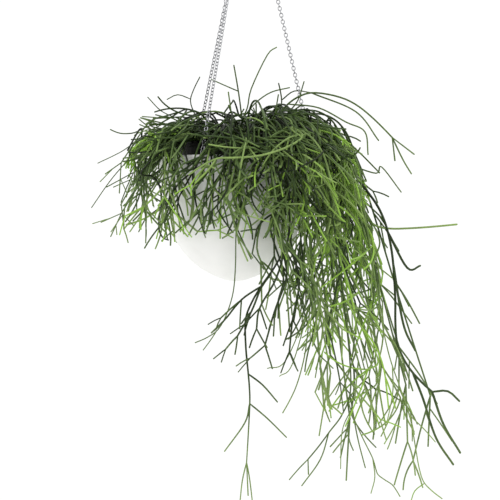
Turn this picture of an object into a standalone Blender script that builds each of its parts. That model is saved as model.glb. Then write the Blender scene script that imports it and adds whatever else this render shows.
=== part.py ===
"""A mistletoe cactus in a white bowl that hangs on three thin chains, at real size.

The origin is the point that the top ring hangs from. +X is to the viewer's right, +Y away from
the viewer and +Z up. Lengths are in metres.
"""

import math
import random

import bmesh
import bpy
import numpy as np
from mathutils import Matrix, Vector

MM = 0.001

# Pieces that bear on one another are kept this far apart
TOUCH = 0.3 * MM

# The ring and the three chains: each name has its azimuth at the bowl and its angle on the ring
RING_RADIUS = 11 * MM
RING_WIRE = 1.2 * MM
CHAINS = {"right": (8, 14), "front": (-114, -14), "back": (122, 0)}
LINKS = 13
LINK_WIRE = 0.95 * MM
LINK_HALF_WIDTH = 2.2 * MM
LINK_SHOULDER = 1.3 * MM

# The wire hooks: closed loops that each run through a hole of the bowl and round its rim. HOOK_SIDE
# lists heights over the middle of the hole, in mm, where the wire follows the wall on both sides
HOOK_WIRE = 0.8 * MM
HOOK_OFF_WALL = 1.8 * MM
HOOK_OVER_RIM = 3 * MM
HOOK_IN_HOLE = 1.2 * MM
HOOK_CORNER = 0.9 * MM
HOOK_SIDE = (2.1, 8, 14, 21)

# The white bowl, with its axis at BOWL_X
BOWL_X = -17 * MM
BOWL_HEIGHT = 155 * MM
BOWL_RIM_Z = -361 * MM
BOWL_BASE_Z = BOWL_RIM_Z - BOWL_HEIGHT
BOWL_WALL = 4 * MM
BOWL_LIP = 0.8 * MM
# Its outside as two Bezier curves of (radius, height over the base) in mm
BOWL_FOOT = [(0, 0), (22, 0), (60, 20), (75, 52)]
BOWL_SIDE = [(75, 52), (80, 66), (90, 110), (101, 155)]
HOLE_BELOW_RIM = 21 * MM
HOLE_RADIUS = 2.6 * MM
TURNS = 28

# The nursery pot that stands inside it, and the soil, as heights above the bowl's base
NURSERY_RIM_RADIUS = 70 * MM
NURSERY_BASE_RADIUS = 52 * MM
NURSERY_TOP = 172 * MM
NURSERY_WALL = 1.2 * MM
NURSERY_LIP = 2.5 * MM
DRAIN_RADIUS = 5 * MM
SOIL_TOP = 162 * MM
SOIL_CROWN = 2 * MM
SOIL_Z = BOWL_BASE_Z + SOIL_TOP

# Stems: radius by order of branching, main stem first
STEM_RADII = (1.7 * MM, 1.35 * MM, 1.15 * MM)
ROOT_DEPTH = 10 * MM
SPAN = 22 * MM
STEP = 4 * MM
STEM_CLEARANCE = 0.6 * MM
TIP_INSET = 2 * MM
LONG_SHOOT = 42 * MM
TWIG_SPREAD = 32
TRIES = 120

# How much a side shoot of a hanging stem, and a twig, turn down in each span
HANGING_SAG = 0.16
TWIG_SAG = 0.05

# A stem narrows to this where it leaves another one, and tapers to this share at its tip
JOINT_RADIUS = 0.7 * MM
TIP_TAPER = 0.8

# Faces closer to one plane than this angle, in radians, are joined after a Boolean
FLAT_ANGLE = 0.002

# Stems chosen by hand, as (x, y, height over the rim) from the bowl's axis in mm. Each trunk rises
# from the soil. Each branch starts at the trunk point with the number that leads it.
CHOSEN_STEMS = {
    "arch_right": {
        "trunk": [(40, -20), (52, -24, 44), (64, -26, 64), (93, -28, 79), (137, -30, 71),
                  (168, -31, 50), (196, -32, 22)],
        "branches": [(7, (198, -33, -6)), (7, (208, -30, -4), (219, -27, -22)), (7, (222, -40, 2)),
                     (3, (103, -40, 60), (137, -46, 42), (160, -50, 30), (164, -52, 1)),
                     (4, (150, -18, 56), (179, -10, 20))],
    },
    "light_run": {
        "trunk": [(48, -6), (70, -4, 36), (112, -2, 34), (142, -4, -8), (156, -6, -55),
                  (174, -8, -85), (215, -10, -89), (277, -12, -84)],
        "branches": [(4, (176, 4, -20), (183, 6, -12), (208, 8, -44)), (5, (172, -22, -104))],
    },
    "dark_edge": {
        "trunk": [(51, -20), (84, -38, 40), (120, -46, 20), (148, -54, -24), (174, -64, -60),
                  (187, -64, -91), (194, -64, -129), (197, -64, -179), (199, -64, -229),
                  (217, -62, -265), (244, -60, -292)],
        "branches": [(11, (262, -58, -290), (277, -56, -303)), (11, (256, -66, -330), (277, -70, -366)),
                     (10, (232, -50, -300), (248, -48, -348), (270, -46, -382)),
                     (6, (212, -58, -138), (229, -56, -135)), (7, (206, -78, -206), (221, -82, -240))],
    },
    "dark_group": {
        "trunk": [(20, -44), (38, -86, 34), (62, -118, -20), (64, -122, -104), (33, -126, -158),
                  (13, -128, -200), (16, -127, -264), (18, -126, -300), (14, -125, -375)],
        "branches": [(5, (8, -134, -176), (-11, -138, -199)), (5, (20, -138, -190), (3, -142, -220)),
                     (4, (50, -134, -150), (30, -138, -186), (26, -140, -212)),
                     (4, (62, -130, -150), (48, -134, -190), (36, -138, -232)),
                     (4, (78, -118, -150), (70, -116, -200), (66, -114, -240)),
                     (8, (12, -128, -325), (-13, -132, -360)), (8, (39, -120, -320), (63, -114, -344)),
                     (7, (34, -122, -280), (52, -118, -301)), (9, (9, -126, -395), (6, -128, -422)),
                     (9, (16, -124, -414)), (9, (18, -120, -395), (22, -118, -429))],
    },
    "thin_left": {
        "trunk": [(-6, -46), (-4, -84, 34), (0, -112, 4), (2, -112, -60), (1, -110, -104),
                  (-2, -108, -166), (-20, -108, -212), (-49, -108, -229)],
        "branches": [(7, (-30, -112, -226), (-39, -114, -238))],
    },
    "low_fork": {
        "trunk": [(44, -34), (72, -62, 40), (104, -84, 10), (120, -88, -80), (134, -86, -190),
                  (141, -84, -290), (116, -82, -338), (88, -80, -374)],
        "branches": [(8, (78, -79, -384), (66, -78, -398)), (8, (90, -74, -392)),
                     (6, (150, -74, -345), (160, -70, -384)), (7, (104, -92, -372), (81, -98, -404)),
                     (5, (150, -98, -232), (158, -104, -262))],
    },
    "crown_mid": {
        "trunk": [(6, -6), (8, -8, 44), (4, -9, 80), (-2, -10, 115)],
        "branches": [(2, (15, -2, 62), (20, 0, 86), (40, 2, 128), (52, 3, 138)),
                     (3, (-10, -6, 88), (-30, -4, 97)), (2, (24, -16, 66), (44, -20, 80), (68, -22, 86))],
    },
    "crown_left": {
        "trunk": [(-34, -8), (-44, -10, 40), (-56, -12, 70), (-44, -13, 100)],
        "branches": [(2, (-66, -20, 46), (-91, -26, 56), (-109, -28, 74)), (3, (-72, -2, 78), (-86, 2, 72)),
                     (2, (-72, -24, 34), (-104, -34, 28), (-136, -38, -8), (-156, -40, -32), (-178, -42, -64)),
                     (2, (-74, -6, 38), (-112, -8, 28), (-140, -9, 8), (-172, -10, -8))],
    },
    "crown_right": {
        "trunk": [(44, 14), (52, 16, 42), (58, 18, 70), (54, 19, 94)],
        "branches": [(2, (66, 4, 56), (78, -2, 71), (86, -3, 95)), (3, (74, 26, 84), (96, 30, 82))],
    },
}

# Groups of stems that grow by rule. Angles are in degrees and lengths in mm, as (least, most).
# azimuth: way that they leave the soil; root: distance of the root from the bowl's axis;
# lift and fall: slope at the root and past the arch; rise: straight length before the arch;
# bend: length of the arch; settle: way that they drift once they hang; nodes: distance between
# forks; first: length of stem before the first fork; spread: angle of a fork
STEM_GROUPS = {
    "cascade": {"count": 10, "seed": 11, "azimuth": (-40, 46), "root": (32, 60), "lift": (46, 72),
                "rise": (0, 18), "fall": (-86, -68), "bend": (80, 142), "length": (330, 530),
                "settle": (-26, 30), "nodes": (60, 92), "side": (44, 88), "twig": (26, 52),
                "first": 130, "spread": 30},
    "veil": {"count": 5, "seed": 66, "azimuth": (-78, -34), "root": (38, 60), "lift": (56, 80),
             "rise": (0, 22), "fall": (-88, -78), "bend": (80, 120), "length": (250, 430),
             "settle": (-50, 5), "nodes": (54, 82), "side": (36, 68), "twig": (22, 42),
             "first": 110, "spread": 30},
    "left": {"count": 8, "seed": 22, "azimuth": (146, 208), "root": (34, 60), "lift": (30, 60),
             "rise": (0, 14), "fall": (-72, -46), "bend": (50, 90), "length": (115, 175),
             "settle": None, "nodes": (36, 54), "side": (26, 48), "twig": (14, 30),
             "first": 70, "spread": 36},
    "front": {"count": 8, "seed": 33, "azimuth": (208, 294), "root": (34, 60), "lift": (36, 66),
              "rise": (0, 16), "fall": (-84, -58), "bend": (60, 96), "length": (130, 195),
              "settle": None, "nodes": (36, 54), "side": (26, 48), "twig": (14, 30),
              "first": 70, "spread": 36},
    "back": {"count": 6, "seed": 44, "azimuth": (56, 144), "root": (34, 60), "lift": (36, 66),
             "rise": (0, 20), "fall": (-88, -70), "bend": (66, 104), "length": (150, 225),
             "settle": None, "nodes": (36, 52), "side": (26, 48), "twig": (14, 30),
             "first": 74, "spread": 36},
    "crown": {"count": 4, "seed": 55, "azimuth": (20, 340), "root": (10, 50), "lift": (34, 60),
              "rise": (4, 22), "fall": (-48, -4), "bend": (60, 100), "length": (80, 125),
              "settle": None, "nodes": (30, 44), "side": (22, 38), "twig": (12, 26),
              "first": 44, "spread": 36},
}


def clear_scene():
    for thing in list(bpy.data.objects):
        bpy.data.objects.remove(thing)


def new_collection(name):
    group = bpy.data.collections.new(name)
    bpy.context.scene.collection.children.link(group)
    return group


def principled(name, colour, roughness, metallic=0.0):
    material = bpy.data.materials.new(name)
    material.use_nodes = True
    shader = material.node_tree.nodes["Principled BSDF"]
    shader.inputs["Base Color"].default_value = (*colour, 1)
    shader.inputs["Roughness"].default_value = roughness
    shader.inputs["Metallic"].default_value = metallic
    return material


def steel():
    return principled("steel", (0.62, 0.62, 0.63), 0.3, 1.0)


def white_glaze():
    return principled("white_glaze", (0.86, 0.86, 0.85), 0.45)


def nursery_plastic():
    return principled("nursery_plastic", (0.03, 0.028, 0.027), 0.5)


def peat_soil():
    return principled("peat_soil", (0.05, 0.032, 0.022), 0.95)


def stem_green():
    return principled("stem_green", (0.07, 0.13, 0.035), 0.5)


def place(name, mesh, material, collection):
    thing = bpy.data.objects.new(name, mesh)
    mesh.materials.clear()
    mesh.materials.append(material)
    collection.objects.link(thing)
    return thing


def drop_scraps(shape):
    """Keep the largest body and delete the specks that a Boolean can leave beside it"""
    left = set(shape.faces)
    bodies = []
    while left:
        body = {left.pop()}
        rim = body
        while rim:
            rim = {other for face in rim for edge in face.edges for other in edge.link_faces} - body
            body = body | rim
        left -= body
        bodies.append(body)
    bodies.sort(key=len)
    for body in bodies[:-1]:
        bmesh.ops.delete(shape, geom=list(body), context="FACES")


def solid_mesh(thing, joined=False):
    """The evaluated shape of an object as a welded mesh in world space, with faces pointing out"""
    bpy.context.view_layer.update()
    depsgraph = bpy.context.evaluated_depsgraph_get()
    mesh = bpy.data.meshes.new_from_object(thing.evaluated_get(depsgraph))
    mesh.transform(thing.matrix_world)
    shape = bmesh.new()
    shape.from_mesh(mesh)
    bmesh.ops.remove_doubles(shape, verts=shape.verts, dist=0.002 * MM)
    bmesh.ops.recalc_face_normals(shape, faces=shape.faces)
    if joined:
        bmesh.ops.dissolve_limit(shape, angle_limit=FLAT_ANGLE, verts=shape.verts, edges=shape.edges)
        bmesh.ops.triangulate(shape, faces=shape.faces)
        drop_scraps(shape)
    shape.to_mesh(mesh)
    shape.free()
    return mesh


def bezier(controls, count):
    p = [np.array(c, dtype=float) for c in controls]
    points = []
    for i in range(count + 1):
        t = i / count
        points.append((1 - t) ** 3 * p[0] + 3 * (1 - t) ** 2 * t * p[1]
                      + 3 * (1 - t) * t * t * p[2] + t ** 3 * p[3])
    return points


def bowl_outline():
    """Radius and height of the bowl's outside, from the base up"""
    return np.array(bezier(BOWL_FOOT, 5) + bezier(BOWL_SIDE, 4)[1:]) * MM


def bowl_inner_outline():
    """The outside moved inwards by the wall, from the rim down"""
    outline = bowl_outline()
    along = np.gradient(outline, axis=0)
    along /= np.linalg.norm(along, axis=1)[:, None]
    inward = np.column_stack([-along[:, 1], along[:, 0]])
    inner = outline + inward * BOWL_WALL
    inner[-1] = (outline[-1][0] - BOWL_WALL, BOWL_HEIGHT)
    return inner[1:][::-1]


def lathe(name, profile, base_z, material, collection):
    """Turn an outline, given as (radius, height), about the bowl's axis"""
    mesh = bpy.data.meshes.new(name)
    points = [(radius, 0, height) for radius, height in profile]
    mesh.from_pydata(points, [(i, i + 1) for i in range(len(points) - 1)], [])
    thing = place(name, mesh, material, collection)
    thing.location = (BOWL_X, 0, base_z)
    screw = thing.modifiers.new("turn", "SCREW")
    screw.steps = TURNS
    screw.render_steps = TURNS
    screw.use_merge_vertices = True
    screw.merge_threshold = 0.00001
    return thing


def three_sided_profile():
    """A small triangle, 1 mm in radius, that a curve carries along it"""
    curve = bpy.data.curves.new("stem_section", "CURVE")
    spline = curve.splines.new("POLY")
    spline.points.add(2)
    for i, point in enumerate(spline.points):
        angle = math.radians(120 * i + 90)
        point.co = (MM * math.cos(angle), MM * math.sin(angle), 0, 1)
    spline.use_cyclic_u = True
    return bpy.data.objects.new("stem_section", curve)


def wire_mesh(points, radii, section=None, closed=False):
    """A tube along points: three-sided with a section object, otherwise four-sided"""
    curve = bpy.data.curves.new("wire", "CURVE")
    curve.dimensions = "3D"
    curve.use_fill_caps = True
    spline = curve.splines.new("POLY")
    spline.points.add(len(points) - 1)
    spline.use_cyclic_u = closed
    for point, place_at, radius in zip(spline.points, points, radii):
        point.co = (*place_at, 1)
        point.radius = radius / MM
    if section:
        curve.bevel_mode = "OBJECT"
        curve.bevel_object = section
    else:
        curve.bevel_depth = MM
        curve.bevel_resolution = 0
    guide = bpy.data.objects.new("wire", curve)
    bpy.context.scene.collection.objects.link(guide)
    mesh = solid_mesh(guide)
    bpy.data.objects.remove(guide)
    return mesh


def combine(base, meshes, operation, solver, collection):
    """Join all the meshes to an object, or cut them all from it, with one Boolean"""
    group = new_collection("helpers")
    for mesh in meshes:
        helper = bpy.data.objects.new("helper", mesh)
        helper.hide_render = True
        helper.display_type = "WIRE"
        group.objects.link(helper)
    boolean = base.modifiers.new("combine", "BOOLEAN")
    boolean.operation = operation
    boolean.operand_type = "COLLECTION"
    boolean.collection = group
    boolean.solver = solver
    mesh = solid_mesh(base, joined=True)
    name, material = base.name, base.data.materials[0]
    bpy.data.objects.remove(base)
    for helper in list(group.objects):
        bpy.data.objects.remove(helper)
    bpy.data.collections.remove(group)
    return place(name, mesh, material, collection)


def drill(start, direction, length, radius, sides):
    """A round cutter that begins at start"""
    shape = bmesh.new()
    bmesh.ops.create_cone(shape, cap_ends=True, segments=sides, radius1=radius, radius2=radius,
                          depth=length)
    turn = Vector((0, 0, 1)).rotation_difference(Vector(direction)).to_matrix().to_4x4()
    middle = Vector(start) + Vector(direction).normalized() * length / 2
    bmesh.ops.transform(shape, matrix=Matrix.Translation(middle) @ turn, verts=shape.verts)
    mesh = bpy.data.meshes.new("drill")
    shape.to_mesh(mesh)
    shape.free()
    return mesh


def radial(azimuth):
    angle = math.radians(azimuth)
    return np.array((math.cos(angle), math.sin(angle), 0.0))


def bowl_radius(height):
    outline = bowl_outline()
    return float(np.interp(height, outline[:, 1], outline[:, 0]))


def hole_place(azimuth, radius):
    """A point at the height of the chain holes, this far from the bowl's axis"""
    return np.array((BOWL_X, 0, BOWL_RIM_Z - HOLE_BELOW_RIM)) + radial(azimuth) * radius


def make_bowl(collection):
    outside = bowl_outline()[::-1]
    inside = bowl_inner_outline()[::-1]
    lip = [(outside[0][0] - BOWL_WALL / 2, BOWL_HEIGHT + BOWL_LIP)]
    profile = [(0, BOWL_WALL), *inside, *lip, *outside]
    bowl = lathe("cover_pot", profile, BOWL_BASE_Z, white_glaze(), collection)
    outer = bowl_radius(BOWL_HEIGHT - HOLE_BELOW_RIM)
    cutters = []
    for azimuth, _ in CHAINS.values():
        start = hole_place(azimuth, outer - 3 * BOWL_WALL)
        cutters.append(drill(start, radial(azimuth), 6 * BOWL_WALL, HOLE_RADIUS, 8))
    return combine(bowl, cutters, "DIFFERENCE", "EXACT", collection)


def nursery_base_height():
    """Height at which the nursery pot's foot rests on the inside of the bowl"""
    inner = bowl_inner_outline()[::-1]
    return float(np.interp(NURSERY_BASE_RADIUS, inner[:, 0], inner[:, 1])) + 1.4 * TOUCH


def make_nursery_pot(collection):
    base = nursery_base_height()
    rim, foot, wall = NURSERY_RIM_RADIUS, NURSERY_BASE_RADIUS, NURSERY_WALL
    profile = [(0, base + wall), (foot - wall, base + wall), (rim - wall, NURSERY_TOP),
               (rim + NURSERY_LIP, NURSERY_TOP), (rim + NURSERY_LIP, NURSERY_TOP - 2 * NURSERY_LIP),
               (rim - 0.4 * MM, NURSERY_TOP - 2 * NURSERY_LIP), (foot, base), (0, base)]
    pot = lathe("nursery_pot", profile, BOWL_BASE_Z, nursery_plastic(), collection)
    cutters = []
    for azimuth in (45, 135, 225, 315):
        start = np.array((BOWL_X, 0, BOWL_BASE_Z + base - 3 * MM)) + radial(azimuth) * foot * 0.6
        cutters.append(drill(start, (0, 0, 1), 8 * MM, DRAIN_RADIUS, 8))
    return combine(pot, cutters, "DIFFERENCE", "EXACT", collection)


def make_soil(roots, collection):
    base = nursery_base_height() + NURSERY_WALL + TOUCH
    slope = (NURSERY_RIM_RADIUS - NURSERY_BASE_RADIUS) / (NURSERY_TOP - base)
    foot = NURSERY_BASE_RADIUS - NURSERY_WALL - 1.5 * TOUCH
    top = foot + slope * (SOIL_TOP - base)
    profile = [(0, SOIL_TOP + SOIL_CROWN), (top * 0.6, SOIL_TOP + SOIL_CROWN * 0.7), (top, SOIL_TOP),
               (foot, base), (0, base)]
    soil = lathe("soil", profile, BOWL_BASE_Z, peat_soil(), collection)
    cutters = []
    for root in roots:
        start = root - np.array((0, 0, TOUCH))
        cutters.append(drill(start, (0, 0, 1), ROOT_DEPTH + 9 * MM, STEM_RADII[0] + 2.5 * TOUCH, 5))
    return combine(soil, cutters, "DIFFERENCE", "EXACT", collection)


def make_ring(collection):
    """A ring in the plane of the view, with its top at the origin"""
    bpy.ops.mesh.primitive_torus_add(major_radius=RING_RADIUS, minor_radius=RING_WIRE,
                                     major_segments=16, minor_segments=5,
                                     location=(0, 0, RING_WIRE - RING_RADIUS),
                                     rotation=(math.pi / 2, 0, 0))
    ring = bpy.context.active_object
    mesh = solid_mesh(ring)
    bpy.data.objects.remove(ring)
    return place("hanging_ring", mesh, steel(), collection)


def ring_point(slot):
    """Centre of the ring's wire at an angle from its lowest point"""
    angle = math.radians(slot)
    return np.array((RING_RADIUS * math.sin(angle), 0, RING_WIRE - RING_RADIUS
                     - RING_RADIUS * math.cos(angle)))


def hook_path(azimuth):
    """Wire centre of a closed loop: through the hole, up inside the wall, over the rim and down"""
    hole = BOWL_HEIGHT - HOLE_BELOW_RIM
    middle = bowl_radius(hole) - BOWL_WALL / 2
    eye_at, eye_height, half = hook_eye_in_plane()
    plane = [(middle, HOOK_IN_HOLE)]
    for side, heights in ((-1, HOOK_SIDE), (1, HOOK_SIDE[::-1])):
        leg = [(bowl_radius(hole + h * MM) - BOWL_WALL / 2 + side * half, h * MM) for h in heights]
        corner = [(middle + side * (half - HOOK_CORNER), HOOK_IN_HOLE)]
        if side < 0:
            plane += corner + leg
            for degrees in range(180, -1, -36):
                angle = math.radians(degrees)
                plane.append((eye_at + half * math.cos(angle), eye_height + half * math.sin(angle)))
        else:
            plane += leg + corner
    return [hole_place(azimuth, r) + np.array((0, 0, z)) for r, z in plane]


def hook_eye_in_plane():
    """Radius and height of the middle of a loop's upper end, and half of its width"""
    eye_at = bowl_radius(BOWL_HEIGHT) - BOWL_WALL / 2
    return eye_at, HOLE_BELOW_RIM + HOOK_OVER_RIM, BOWL_WALL / 2 + HOOK_OFF_WALL


def hook_eye(azimuth):
    """Centre of the upper end of the loop, which the last link hangs in"""
    eye_at, eye_height, _ = hook_eye_in_plane()
    return hole_place(azimuth, eye_at) + np.array((0, 0, eye_height))


def make_hook(name, azimuth, collection):
    path = hook_path(azimuth)
    mesh = wire_mesh(path, [HOOK_WIRE] * len(path), closed=True)
    return place("hook_" + name, mesh, steel(), collection)


def chain_ends(azimuth, slot):
    """Wire centres of the top and bottom link ends, and the chain's direction upwards"""
    top = ring_point(slot)
    eye = hook_eye(azimuth)
    up = (top - eye) / np.linalg.norm(top - eye)
    low = eye + up * (hook_eye_in_plane()[2] - HOOK_WIRE - LINK_WIRE - TOUCH)
    high = top + up * (RING_WIRE + LINK_WIRE + TOUCH)
    return high, low, up


def link_turn(azimuth, up):
    """Face of the top link, square to the ring, and the turn from each link to the next

    The turn is close to 90 degrees and brings the last link square to the eye of its hook.
    """
    across_ring = np.array((1.0, 0, 0))
    first = unit(across_ring - up * np.dot(across_ring, up))
    last = unit(radial(azimuth) - up * np.dot(radial(azimuth), up))
    wanted = math.degrees(math.atan2(np.dot(np.cross(first, last), up), np.dot(first, last)))
    spare = (wanted - 90 * (LINKS - 1) + 90) % 180 - 90
    return first, 90 + spare / (LINKS - 1)


def make_chain(name, azimuth, slot, section, collection):
    """Long links in a straight line, each sunk into the next so that the chain is one solid"""
    high, low, up = chain_ends(azimuth, slot)
    first, turn = link_turn(azimuth, up)
    sunk = 0.75 * LINK_WIRE
    link_length = (np.linalg.norm(high - low) + (LINKS - 1) * sunk) / LINKS
    half = link_length / 2
    shoulder = half - LINK_SHOULDER
    outline = [(0, half), (LINK_HALF_WIDTH, shoulder), (LINK_HALF_WIDTH, -shoulder), (0, -half),
               (-LINK_HALF_WIDTH, -shoulder), (-LINK_HALF_WIDTH, shoulder)]
    meshes = []
    for i in range(LINKS):
        width = np.cross(turned(first, up, turn * i), up)
        middle = high - up * (half + i * (link_length - sunk))
        points = [middle + width * w + up * h for w, h in outline]
        meshes.append(wire_mesh(points, [LINK_WIRE] * len(points), section, closed=True))
    chain = place("chain_" + name, meshes[0], steel(), collection)
    return combine(chain, meshes[1:], "UNION", "MANIFOLD", collection)


def unit(vector):
    return vector / np.linalg.norm(vector)


def turned(direction, axis, degrees):
    angle = math.radians(degrees)
    return (direction * math.cos(angle) + np.cross(axis, direction) * math.sin(angle)
            + axis * np.dot(axis, direction) * (1 - math.cos(angle)))


def heading(azimuth, elevation):
    rise = math.radians(elevation)
    return radial(azimuth) * math.cos(rise) + np.array((0, 0, math.sin(rise)))


def side_axis(rng, direction):
    """A random direction square to this one"""
    while True:
        trial = np.array([rng.gauss(0, 1) for _ in range(3)])
        axis = np.cross(direction, trial)
        if np.linalg.norm(axis) > 0.2:
            return unit(axis)


def between(limits, share):
    return limits[0] + (limits[1] - limits[0]) * share


def ease(t):
    t = min(max(t, 0.0), 1.0)
    return t * t * (3 - 2 * t)


def pots_block(point, radius, outline):
    """True where a stem of this radius would meet the bowl, the nursery pot or the soil"""
    out = math.hypot(point[0] - BOWL_X, point[1])
    height = point[2] - BOWL_BASE_Z
    if height < -3 * MM:
        return False
    wall = np.interp(height, outline[:, 1], outline[:, 0])
    if height < BOWL_HEIGHT + radius + 2 * MM and out < wall + radius + 2 * MM:
        return True
    if height < NURSERY_TOP + radius + MM and abs(out - NURSERY_RIM_RADIUS) < 2 * NURSERY_LIP + radius:
        return True
    return out < NURSERY_RIM_RADIUS and height < SOIL_TOP + SOIL_CROWN + radius + MM


class Clearance:
    """Every stretch of stem, chain and hook placed so far, which a new stem keeps off"""

    def __init__(self):
        self.starts = np.zeros((0, 3))
        self.ends = np.zeros((0, 3))
        self.radii = np.zeros(0)
        self.owners = np.zeros(0, dtype=int)
        self.outline = bowl_outline()

    def add(self, points, radius, owner):
        points = np.asarray(points)
        self.starts = np.vstack([self.starts, points[:-1]])
        self.ends = np.vstack([self.ends, points[1:]])
        self.radii = np.append(self.radii, np.full(len(points) - 1, radius))
        self.owners = np.append(self.owners, np.full(len(points) - 1, owner))

    def allows(self, points, radius, owner, rooted=False):
        others = self.owners != owner
        starts = self.starts[others]
        along = self.ends[others] - starts
        squared = np.maximum((along * along).sum(1), 1e-12)
        limit = self.radii[others] + radius + STEM_CLEARANCE
        for i, (a, b) in enumerate(zip(points[:-1], points[1:])):
            count = max(2, int(np.linalg.norm(b - a) / (1.5 * MM)) + 1)
            for k in range(count + 1):
                p = a + (b - a) * k / count
                if not (rooted and i == 0) and pots_block(p, radius, self.outline):
                    return False
                if len(starts):
                    t = np.clip(((p - starts) * along).sum(1) / squared, 0, 1)
                    if (np.linalg.norm(starts + along * t[:, None] - p, axis=1) < limit).any():
                        return False
        return True


def catmull(points, count):
    """A smooth line through points, with count spans between each pair"""
    padded = [2 * points[0] - points[1], *points, 2 * points[-1] - points[-2]]
    line = [points[0]]
    for i in range(1, len(padded) - 2):
        p0, p1, p2, p3 = padded[i - 1:i + 3]
        for k in range(1, count + 1):
            t = k / count
            line.append(0.5 * (2 * p1 + (p2 - p0) * t + (2 * p0 - 5 * p1 + 4 * p2 - p3) * t * t
                               + (3 * p1 - p0 - 3 * p2 + p3) * t ** 3))
    return line


def over_rim(x, y, height):
    return np.array((BOWL_X + x * MM, y * MM, BOWL_RIM_Z + height * MM))


def root_points(x, y):
    foot = np.array((x, y, SOIL_Z - ROOT_DEPTH))
    return [foot, foot + np.array((0, 0, ROOT_DEPTH + 6 * MM))]


def arching_stem(rng, group, part):
    """Centre line of a stem that rises from the soil, arches over the rim and hangs"""
    azimuth = between(group["azimuth"], part + rng.uniform(-0.09, 0.09))
    root_radius = rng.uniform(*group["root"]) * MM
    root_angle = azimuth + rng.uniform(-25, 25)
    lift = rng.uniform(*group["lift"])
    rise = rng.uniform(*group["rise"]) * MM
    reach = rng.random()
    bend = between(group["bend"], reach) * MM
    fall = between(group["fall"], 0.75 * reach + 0.25 * rng.random())
    length = rng.uniform(*group["length"]) * MM
    settle = rng.uniform(*group["settle"]) if group["settle"] else azimuth
    sway = rng.uniform(-14, 14)
    spot = radial(root_angle) * root_radius
    points = root_points(BOWL_X + spot[0], spot[1])
    place_at = points[-1]
    travelled = 0.0
    since = 0.0
    while travelled < length:
        part_bent = (travelled - rise) / bend
        elevation = lift + (fall - lift) * ease(part_bent)
        way = azimuth + (settle - azimuth) * ease(part_bent - 0.5) + sway * math.sin(travelled / (60 * MM))
        place_at = place_at + heading(way, elevation) * STEP
        travelled += STEP
        since += STEP
        if since > (SPAN if part_bent < 1.1 else 2 * SPAN) - STEP / 2:
            points.append(place_at)
            since = 0.0
    return points


class Spray:
    """One group of stems that is fused into a single node, as a list of (order, points)"""

    def __init__(self, owner, clearance):
        self.owner = owner
        self.clearance = clearance
        self.pieces = []

    def add(self, order, points):
        self.clearance.add(points, STEM_RADII[order], self.owner)
        self.pieces.append((order, points))

    def add_if_clear(self, order, points):
        clear = self.clearance.allows(points, STEM_RADII[order], self.owner, rooted=order == 0)
        if clear:
            self.add(order, points)
        return clear


def shoot(start, direction, length, sag):
    """A short stem that starts in another one and bends down by its sag"""
    points = [start]
    spans = 2 if length > LONG_SHOOT else 1
    for _ in range(spans):
        direction = unit(direction + np.array((0, 0, -sag)))
        points.append(points[-1] + direction * length / spans)
    return points, direction


def fork(rng, spray, order, start, direction, turn, spread, length, sag):
    """Try a few directions for a shoot, keep the first that is clear, and return it with its way"""
    axis = side_axis(rng, direction)
    for attempt in range(8):
        around = turned(axis, direction, turn + rng.uniform(-35, 35) + 40 * attempt)
        points, way = shoot(start, turned(direction, around, spread * rng.uniform(0.7, 1.35)),
                            rng.uniform(*length) * MM, sag)
        if spray.add_if_clear(order, points):
            return points, way
    return None


def add_side_shoots(rng, spray, line, group):
    """Side shoots along a main stem, two of them at its tip, each with a twig of its own"""
    travelled = 0.0
    next_fork = group["first"] * MM
    sag = 0.0 if group["fall"][1] > 0 else HANGING_SAG
    for i in range(1, len(line)):
        span = np.linalg.norm(line[i] - line[i - 1])
        travelled += span
        last = i == len(line) - 1
        if travelled < next_fork and not last:
            continue
        next_fork = travelled + rng.uniform(*group["nodes"]) * MM
        direction = unit(line[i] - line[i - 1])
        start = line[i] - direction * (TIP_INSET if last else span / 2)
        for k in range(2 if last else 1):
            side = fork(rng, spray, 1, start, direction, 180 * k, group["spread"], group["side"], sag)
            if side:
                points, way = side
                fork(rng, spray, 2, (points[0] + points[1]) / 2, way, 180, TWIG_SPREAD, group["twig"],
                     TWIG_SAG)


def grow_chosen(name, spray):
    """One of the stems chosen by hand"""
    stem = CHOSEN_STEMS[name]
    x, y = stem["trunk"][0]
    root = root_points(BOWL_X + x * MM, y * MM)
    way_points = [root[1]] + [over_rim(*point) for point in stem["trunk"][1:]]
    line = [root[0]] + catmull(way_points, 2)
    spray.add(0, line)
    for leads, *points in stem["branches"]:
        joint = 2 * leads - 1
        following = line[joint + 1] if joint + 1 < len(line) else line[joint - 1]
        start = line[joint] + unit(following - line[joint]) * TIP_INSET
        spray.add(1, [start] + [over_rim(*point) for point in points])


def grow_by_rule(rng, group, part, spray):
    """A stem with its side shoots; the spray stays empty where there is no room for one"""
    for _ in range(TRIES):
        line = arching_stem(rng, group, part)
        if spray.add_if_clear(0, line):
            add_side_shoots(rng, spray, line, group)
            return


def fixed_clearance():
    clearance = Clearance()
    for azimuth, slot in CHAINS.values():
        high, low, _ = chain_ends(azimuth, slot)
        clearance.add([high, low], LINK_HALF_WIDTH + LINK_WIRE, -1)
        clearance.add(hook_path(azimuth), HOOK_WIRE, -1)
    return clearance


def grow_plant():
    """All the stems, as a dictionary of spray name to its list of (order, points)"""
    clearance = fixed_clearance()
    sprays = {}
    for name in CHOSEN_STEMS:
        spray = Spray(len(sprays), clearance)
        grow_chosen(name, spray)
        sprays["spray_" + name] = spray.pieces
    for name, group in STEM_GROUPS.items():
        rng = random.Random(group["seed"])
        for i in range(group["count"]):
            spray = Spray(len(sprays), clearance)
            grow_by_rule(rng, group, (i + 0.5) / group["count"], spray)
            if spray.pieces:
                sprays["spray_%s_%d" % (name, i + 1)] = spray.pieces
    return sprays


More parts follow.
